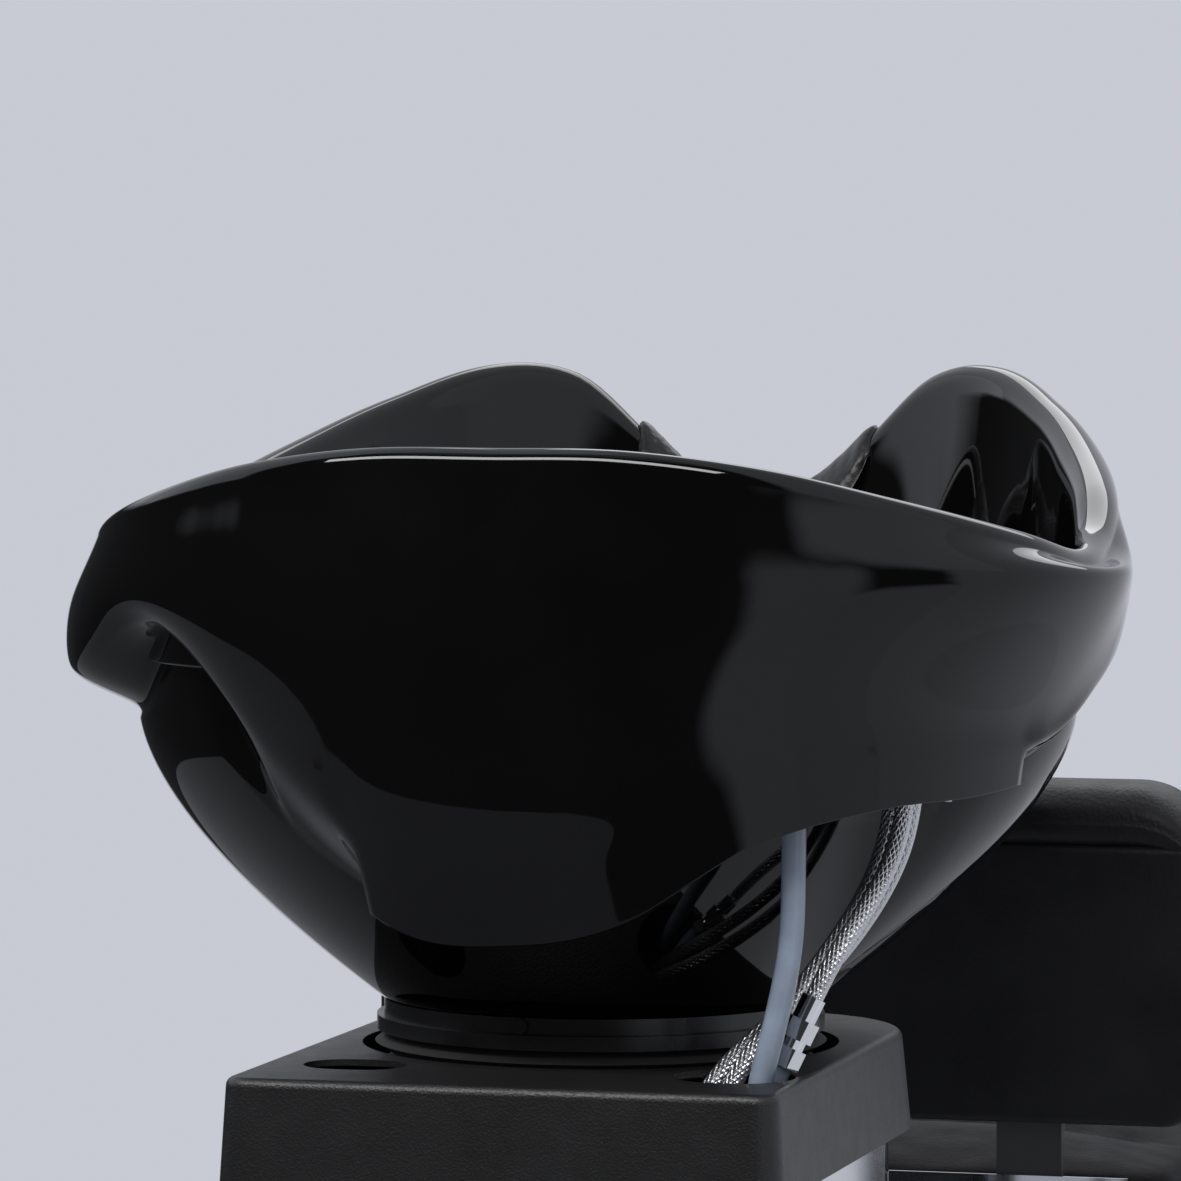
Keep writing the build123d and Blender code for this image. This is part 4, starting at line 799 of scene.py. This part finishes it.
def spline_points(name, route):
    """The points of a smooth curve that has the route's points as its control points."""
    curve = bpy.data.curves.new(name, "CURVE")
    curve.dimensions = "3D"
    curve.resolution_u = 10
    spline = curve.splines.new("NURBS")
    spline.points.add(len(route) - 1)
    for point, place in zip(spline.points, route):
        point.co = (*basin_point(place), 1)
    spline.order_u = 3
    spline.use_endpoint_u = True
    holder = linked(name, curve)
    mesh = bpy.data.meshes.new_from_object(holder)
    points = [vertex.co.copy() for vertex in mesh.vertices]
    bpy.data.objects.remove(holder)
    bpy.data.curves.remove(curve)
    bpy.data.meshes.remove(mesh)
    return points


def hose_mesh(name, points, radius, material, sides=28):
    """A round tube along points, with its length in the second map coordinate."""
    verts, lengths, length = [], [], 0.0
    side = Vector((1, 0, 0))
    for i, point in enumerate(points):
        ahead = (points[min(i + 1, len(points) - 1)] - points[max(i - 1, 0)]).normalized()
        side = (side - ahead * side.dot(ahead)).normalized()
        other = ahead.cross(side)
        if i:
            length += (point - points[i - 1]).length
        lengths.append(length)
        for k in range(sides):
            turn = math.tau * k / sides
            verts.append(point + side * radius * math.cos(turn) + other * radius * math.sin(turn))
    faces = grid_faces(len(points), sides, close_columns=False)
    faces += [tuple(reversed(range(sides))), tuple(range((len(points) - 1) * sides, len(points) * sides))]
    piece = new_object(name, verts, faces, material)
    layer = piece.data.uv_layers.new(name="along")
    for face in piece.data.polygons:
        corners = [piece.data.loops[i].vertex_index for i in face.loop_indices]
        wraps = max(c % sides for c in corners) == sides - 1 and min(c % sides for c in corners) == 0
        for loop, corner in zip(face.loop_indices, corners):
            turn = corner % sides
            if wraps and turn == 0:
                turn = sides
            layer.data[loop].uv = (turn / sides, lengths[corner // sides])
    return piece, length


def add_hoses():
    """The shower hose in two pieces that meet inside the column, and the three braided hoses."""
    radius = shower_hose_diameter / 2 * MM
    for name, route, body in (("shower_hose_upper", shower_hose_route[:split_index + 1], "hand_shower"),
                              ("shower_hose_lower", shower_hose_route[:split_index - 2:-1], "frame")):
        points = spline_points(name, route)
        piece, length = hose_mesh(name, points, radius, hose_grey)
        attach(piece, body)
        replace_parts(piece, "shower_hose")
    radius = braid_diameter / 2 * MM
    for name, route, frame_end in (("outlet_hose", outlet_hose_route, -1), ("hot_hose", hot_hose_route, 8),
                                   ("cold_hose", cold_hose_route, 8)):
        points = spline_points(name, route)
        piece, length = hose_mesh(name + "_braid", points, radius, steel_braid)
        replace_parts(piece, name)
        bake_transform(piece)


add_hoses()

# Upholstery


def rounded_outline(half_x, half_y, corner, count):
    """Points round a rounded rectangle, closer together at the corners."""
    corner = max(0.0005, min(corner, half_x - 0.001, half_y - 0.001))
    points = []
    straight_steps = count // 8
    arc_steps = count // 4 - straight_steps
    for quarter in range(4):
        turn = math.pi / 2 * quarter
        sign_x = 1 if quarter in (0, 3) else -1
        sign_y = 1 if quarter in (0, 1) else -1
        centre = Vector((sign_x * (half_x - corner), sign_y * (half_y - corner)))
        for i in range(arc_steps):
            a = turn + math.pi / 2 * i / arc_steps
            points.append(centre + corner * Vector((math.cos(a), math.sin(a))))
        end = centre + corner * Vector((math.cos(turn + math.pi / 2), math.sin(turn + math.pi / 2)))
        following = Vector(((-sign_x if quarter % 2 == 0 else sign_x) * (half_x - corner),
                            (sign_y if quarter % 2 == 0 else -sign_y) * (half_y - corner)))
        start = following + corner * Vector((math.cos(turn + math.pi / 2), math.sin(turn + math.pi / 2)))
        for i in range(straight_steps):
            points.append(end + (start - end) * i / straight_steps)
    return points


def cushion_points(half_x, half_y, height, corner, crown, channels):
    """Rings of a crowned cushion: flat underside, bulging sides with a drawn-in seam, sewn channels on top."""
    rings = []
    edge = height - crown
    count = cushion_columns
    for inset in (0.6, 0.3, 0.1):
        rings.append([(p, 0.0) for p in rounded_outline(half_x * (1 - inset), half_y * (1 - inset),
                                                        corner * (1 - inset), count)])
    for grow, share in side_profile:
        outline = rounded_outline(half_x + grow, half_y + grow, corner, count)
        rings.append([(p, edge * share) for p in outline])
    for i in range(1, crown_steps + 1):
        t = i / crown_steps
        inset = crown_inset + (min(half_x, half_y) - crown_stop) * t
        rise = crown * (1 - (1 - t) ** 3)
        ring = []
        for p in rounded_outline(half_x - inset, half_y - inset, max(0.001, corner * (1 - t)), count):
            groove = sum(math.exp(-((p.y - y) / channel_width) ** 2) for y in channels)
            dip = sum(math.exp(-((p.y - y) / dip_width) ** 2) for y in channels)
            fade = min(1.0, t * 6)
            ring.append((p, edge + rise - (channel_depth * groove + dip_depth * dip) * fade))
        rings.append(ring)
    return rings


def cushion_mesh(name, size, channels, place, hide):
    """A cushion's mesh, placed by a function from its own coordinates to the frame."""
    rings = cushion_points(*size, channels)
    count = len(rings[0])
    verts = []
    for r, ring in enumerate(rings):
        for p, z in ring:
            wave = cushion_ripple * noise.noise(Vector((p.x * 9, p.y * 9, z * 9)))
            local = Vector((p.x, p.y, z + (wave if r > 4 else 0.0)))
            verts.append(place(local))
    faces = grid_faces(len(rings), count, close_columns=False)
    faces += [tuple(range(count)), tuple(reversed(range((len(rings) - 1) * count, len(rings) * count)))]
    return new_object(name, verts, faces, hide)


def piping(name, points, radius, material, body):
    """A welt sewn along closed points."""
    curve = bpy.data.curves.new(name, "CURVE")
    curve.dimensions = "3D"
    spline = curve.splines.new("POLY")
    spline.points.add(len(points) - 1)
    for point, place in zip(spline.points, points):
        point.co = (*place, 1)
    spline.use_cyclic_u = True
    curve.bevel_depth = radius
    curve.bevel_resolution = 3
    curve.materials.append(material)
    holder = linked(name, curve)
    mesh = bpy.data.meshes.new_from_object(holder)
    bpy.data.objects.remove(holder)
    piece = linked(name, mesh)
    mesh.polygons.foreach_set("use_smooth", [True] * len(mesh.polygons))
    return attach(piece, body)


def add_cushion(name, node, body, size, channels, place, welt=0.5, hide=black_hide):
    """A cushion with a welt at a share of its side, standing for a CAD cushion."""
    half_x, half_y, height, corner, crown = size
    piece = cushion_mesh(name, size, channels, place, hide)
    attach(piece, body)
    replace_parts(piece, node)
    outline = rounded_outline(half_x - welt_inset, half_y - welt_inset, corner, cushion_columns)
    piping(name + "_welt", [place(Vector((p.x, p.y, (height - crown) * welt))) for p in outline], welt_radius,
           black_hide, body)


seat_low, seat_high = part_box("seat_cushion")
seat_centre = Vector(((seat_low[0] + seat_high[0]) / 2, (seat_low[1] + seat_high[1]) / 2, seat_low[2]))
add_cushion("seat_pad", "seat_cushion", "frame",
            ((seat_high[0] - seat_low[0]) / 2, (seat_high[1] - seat_low[1]) / 2, seat_high[2] - seat_low[2],
             seat_corner, seat_crown), seat_channels, lambda p: seat_centre + p, hide=seat_hide)
leg_hinge = basin_point(leg_hinge_place)


def leg_point(local):
    """A point of the leg cushion's own frame, sloped down from the leg rest's hinge."""
    y = (leg_start + leg_end) / 2 + local.y
    z = leg_underside + local.z
    return leg_hinge + Vector((local.x, y * math.cos(leg_slope) + z * math.sin(leg_slope),
                               z * math.cos(leg_slope) - y * math.sin(leg_slope)))


add_cushion("leg_pad", "leg_cushion", "leg_rest",
            (leg_half_width, (leg_end - leg_start) / 2, leg_thickness, seat_corner, leg_crown),
            leg_channels, leg_point)


def arm_piece(node, name):
    """A padded arm rest."""
    low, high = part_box(node)
    centre = Vector(((low[0] + high[0]) / 2, (low[1] + high[1]) / 2, low[2]))
    half = (Vector(high) - Vector(low)) / 2
    add_cushion(name, node, "frame", (half.x, half.y, 2 * half.z, arm_corner, arm_crown), (),
                lambda p: centre + p, arm_welt)


arm_piece("arm_pad_left", "left_arm_pad")
arm_piece("arm_pad_right", "right_arm_pad")

# Back rest: one cushion whose top rolls back over the board

back_low, back_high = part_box("back_cushion")
panel_low, panel_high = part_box("back_panel")


def back_section():
    """The back cushion's side section, as depth and height, from its rear foot up, over and down the front."""
    rear, front = panel_low[1] + 0.0245, back_high[1]
    low, top, seam = back_low[2], back_high[2], panel_high[2] + 0.0006
    roll = panel_low[1]
    mid = (low + seam) / 2
    points = [(rear, low + 0.004), (rear, seam - 0.002)]
    points += [(roll + 0.004, seam), (roll + 0.001, seam + 0.004)]
    points += curve_through([(roll, seam + 0.012), (roll + 0.004, top - 0.013), (roll + 0.018, top - 0.003),
                             (roll + 0.04, top), (front - 0.035, top - 0.004), (front - 0.012, top - 0.025),
                             (front - 0.003, mid + 0.03), (front - 0.001, mid - 0.03),
                             (front - 0.012, low + 0.018), (front - 0.03, low + 0.001)], 84)
    points += [(front - 0.035, low)]
    return points


def back_cushion():
    """The back cushion, with round corners and drawn-in ends."""
    section = back_section()
    centre_y, mid_z = (back_low[1] + back_high[1]) / 2, (back_low[2] + back_high[2]) / 2
    half = (back_high[0] - back_low[0]) / 2
    verts = []
    for i in range(back_columns):
        share = i / (back_columns - 1) * 2 - 1
        x = math.copysign(half * (1 - (1 - abs(share)) ** 1.6), share)
        edge = max(0.0, abs(x) - (half - back_corner)) / back_corner
        shrink = 1 - math.sqrt(max(0.0, 1 - edge ** 2))
        swell = math.exp(-((half - abs(x)) / 0.02) ** 2) * 0.5
        for y, z in section:
            away_z = back_corner * shrink
            top_drop = away_z * max(0.0, (z - mid_z) / (back_high[2] - mid_z))
            foot_rise = away_z * max(0.0, (mid_z - z) / (mid_z - back_low[2]))
            depth = max(0.0, y - (panel_low[1] + 0.03)) * 0.16 * swell
            wave = back_ripple * noise.noise(Vector((x * 8, y * 8, z * 8)))
            verts.append(Vector((x, y - depth + wave, z - top_drop + foot_rise)))
    rows = len(section)
    faces = grid_faces(back_columns, rows, close_columns=False)
    faces += [tuple(range(rows)), tuple(reversed(range((back_columns - 1) * rows, back_columns * rows)))]
    piece = new_object("back_pad", verts, faces, black_hide)
    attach(piece, "frame")
    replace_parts(piece, "back_cushion")
    return piece


back_cushion()

# Stage, light and camera


def area_light(name, place, target, size, power):
    """A rectangular soft light that faces a point."""
    data = bpy.data.lights.new(name, "AREA")
    data.shape = "RECTANGLE"
    data.size, data.size_y = size
    data.energy = power
    lamp = linked(name, data)
    lamp.location = place
    lamp.rotation_euler = (Vector(target) - Vector(place)).to_track_quat("-Z", "Y").to_euler()


def add_floor():
    """A plain pale floor, which reflections show as a painted glow."""
    mesh = bpy.data.meshes.new("studio_floor")
    edit = bmesh.new()
    bmesh.ops.create_circle(edit, cap_ends=True, segments=96, radius=floor_reach)
    edit.to_mesh(mesh)
    edit.free()
    material, tree, shader = tree_of("floor_paint")
    place = coordinates(tree)
    value = noise_socket(tree, place, 3.0)
    color = ramp_color(tree, value, (0.52, 0.53, 0.55), (0.55, 0.56, 0.58))
    tree.links.new(color, shader.inputs["Base Color"])
    preset(shader, Roughness=0.8)
    paint_floor_reflection(tree, shader)
    mesh.materials.append(material)
    floor = linked("studio_floor", mesh)
    floor.location = floor_centre


def seen_in_gloss(tree):
    """Whether a reflection or a transparent piece shows this, and whether the camera does."""
    path = tree.nodes.new("ShaderNodeLightPath")
    gloss = math_socket(tree, "MAXIMUM", path.outputs["Is Glossy Ray"], path.outputs["Is Transmission Ray"])
    return gloss, path.outputs["Is Camera Ray"]


def paint_floor_reflection(tree, shader):
    """Painted reflection: glossy and transmission rays see the floor as a glow, dim in front and bright beside
    the right skirt, in place of its lit paint.
    """
    gloss, _ = seen_in_gloss(tree)
    place = split_xyz(tree, tree.nodes.new("ShaderNodeNewGeometry").outputs["Position"])
    share = soft_step(tree, place["X"], floor_painted_glow_place, floor_painted_glow_width)
    level = math_socket(tree, "MULTIPLY", share, floor_painted_glow_high - floor_painted_glow_low)
    # The painted glow that reflections see in place of the floor
    gleam = tree.nodes.new("ShaderNodeEmission")
    preset(gleam, Color=(*room_tint, 1))
    tree.links.new(math_socket(tree, "ADD", level, floor_painted_glow_low), gleam.inputs["Strength"])
    mix = tree.nodes.new("ShaderNodeMixShader")
    end = next(node for node in tree.nodes if node.type == "OUTPUT_MATERIAL")
    tree.links.new(gloss, mix.inputs[0])
    tree.links.new(shader.outputs[0], mix.inputs[1])
    tree.links.new(gleam.outputs[0], mix.inputs[2])
    tree.links.new(mix.outputs[0], end.inputs["Surface"])


def soft_window(tree, value, low, high, width):
    """1 between two places and 0 outside."""
    rise = soft_step(tree, value, math.radians(low), math.radians(width))
    fall = soft_step(tree, value, math.radians(high), math.radians(width))
    return math_socket(tree, "SUBTRACT", rise, fall)


def room_level(tree):
    """How bright the room is around the stage: bright walls behind and beside, dark toward the front."""
    sums = partial(math_socket, tree)
    place = coordinates(tree, "Generated")
    split = split_xyz(tree, place)
    ripple = sums("SUBTRACT", noise_socket(tree, place, 3.0, 2.0), 0.5)
    ripple = sums("MULTIPLY", ripple, room_ripple)
    back = sums("MULTIPLY", split["Y"], -1.0)
    turn = sums("ADD", sums("ARCTAN2", split["X"], back), ripple)
    rise = sums("ADD", sums("ARCSINE", split["Z"]), ripple)
    level = None
    for turn_low, turn_high, rise_low, rise_high, bright, width in room_walls:
        wall_level = sums("MULTIPLY", soft_window(tree, turn, turn_low, turn_high, width),
                          soft_window(tree, rise, rise_low, rise_high, width))
        wall_level = sums("MULTIPLY", wall_level, bright)
        level = wall_level if level is None else sums("MAXIMUM", level, wall_level)
    return sums("MAXIMUM", level, room_dark)


def add_world():
    """A pale backdrop for the camera, the room for reflections, and an even light."""
    world = bpy.data.worlds.new("studio")
    bpy.context.scene.world = world
    world.use_nodes = True
    tree = world.node_tree
    gloss, camera = seen_in_gloss(tree)
    tint = tree.nodes.new("ShaderNodeVectorMath")
    tint.operation = "SCALE"
    tint.inputs[0].default_value = room_tint
    tree.links.new(room_level(tree), tint.inputs["Scale"])
    color = (*even_light, 1)
    for factor, value in ((gloss, tint.outputs["Vector"]), (camera, (*backdrop, 1))):
        node = tree.nodes.new("ShaderNodeMix")
        node.data_type = "RGBA"
        tree.links.new(factor, node.inputs["Factor"])
        for socket, given in ((node.inputs["A"], color), (node.inputs["B"], value)):
            if isinstance(given, tuple):
                socket.default_value = given
            else:
                tree.links.new(given, socket)
        color = node.outputs["Result"]
    tree.links.new(color, tree.nodes["Background"].inputs["Color"])


def add_camera():
    """The camera at the photograph's angle."""
    turn = math.radians(view_azimuth)
    data = bpy.data.cameras.new("view")
    data.lens = lens
    data.sensor_width = 36.0
    data.clip_end = 100.0
    camera = linked("view", data)
    camera.location = (axis_x + view_distance * math.sin(turn), axis_y - view_distance * math.cos(turn),
                       cover_top + view_height)
    camera.rotation_euler = (math.radians(90 - view_pitch), 0, math.radians(view_azimuth + view_yaw_offset))
    bpy.context.scene.camera = camera


add_floor()
add_world()
add_camera()
for name, (x, y, z), size, power in lamps:
    area_light(name, (axis_x + x, axis_y + y, z), (axis_x, axis_y, cover_top + lamp_aim), size, power)
bpy.context.scene.view_settings.view_transform = "Standard"
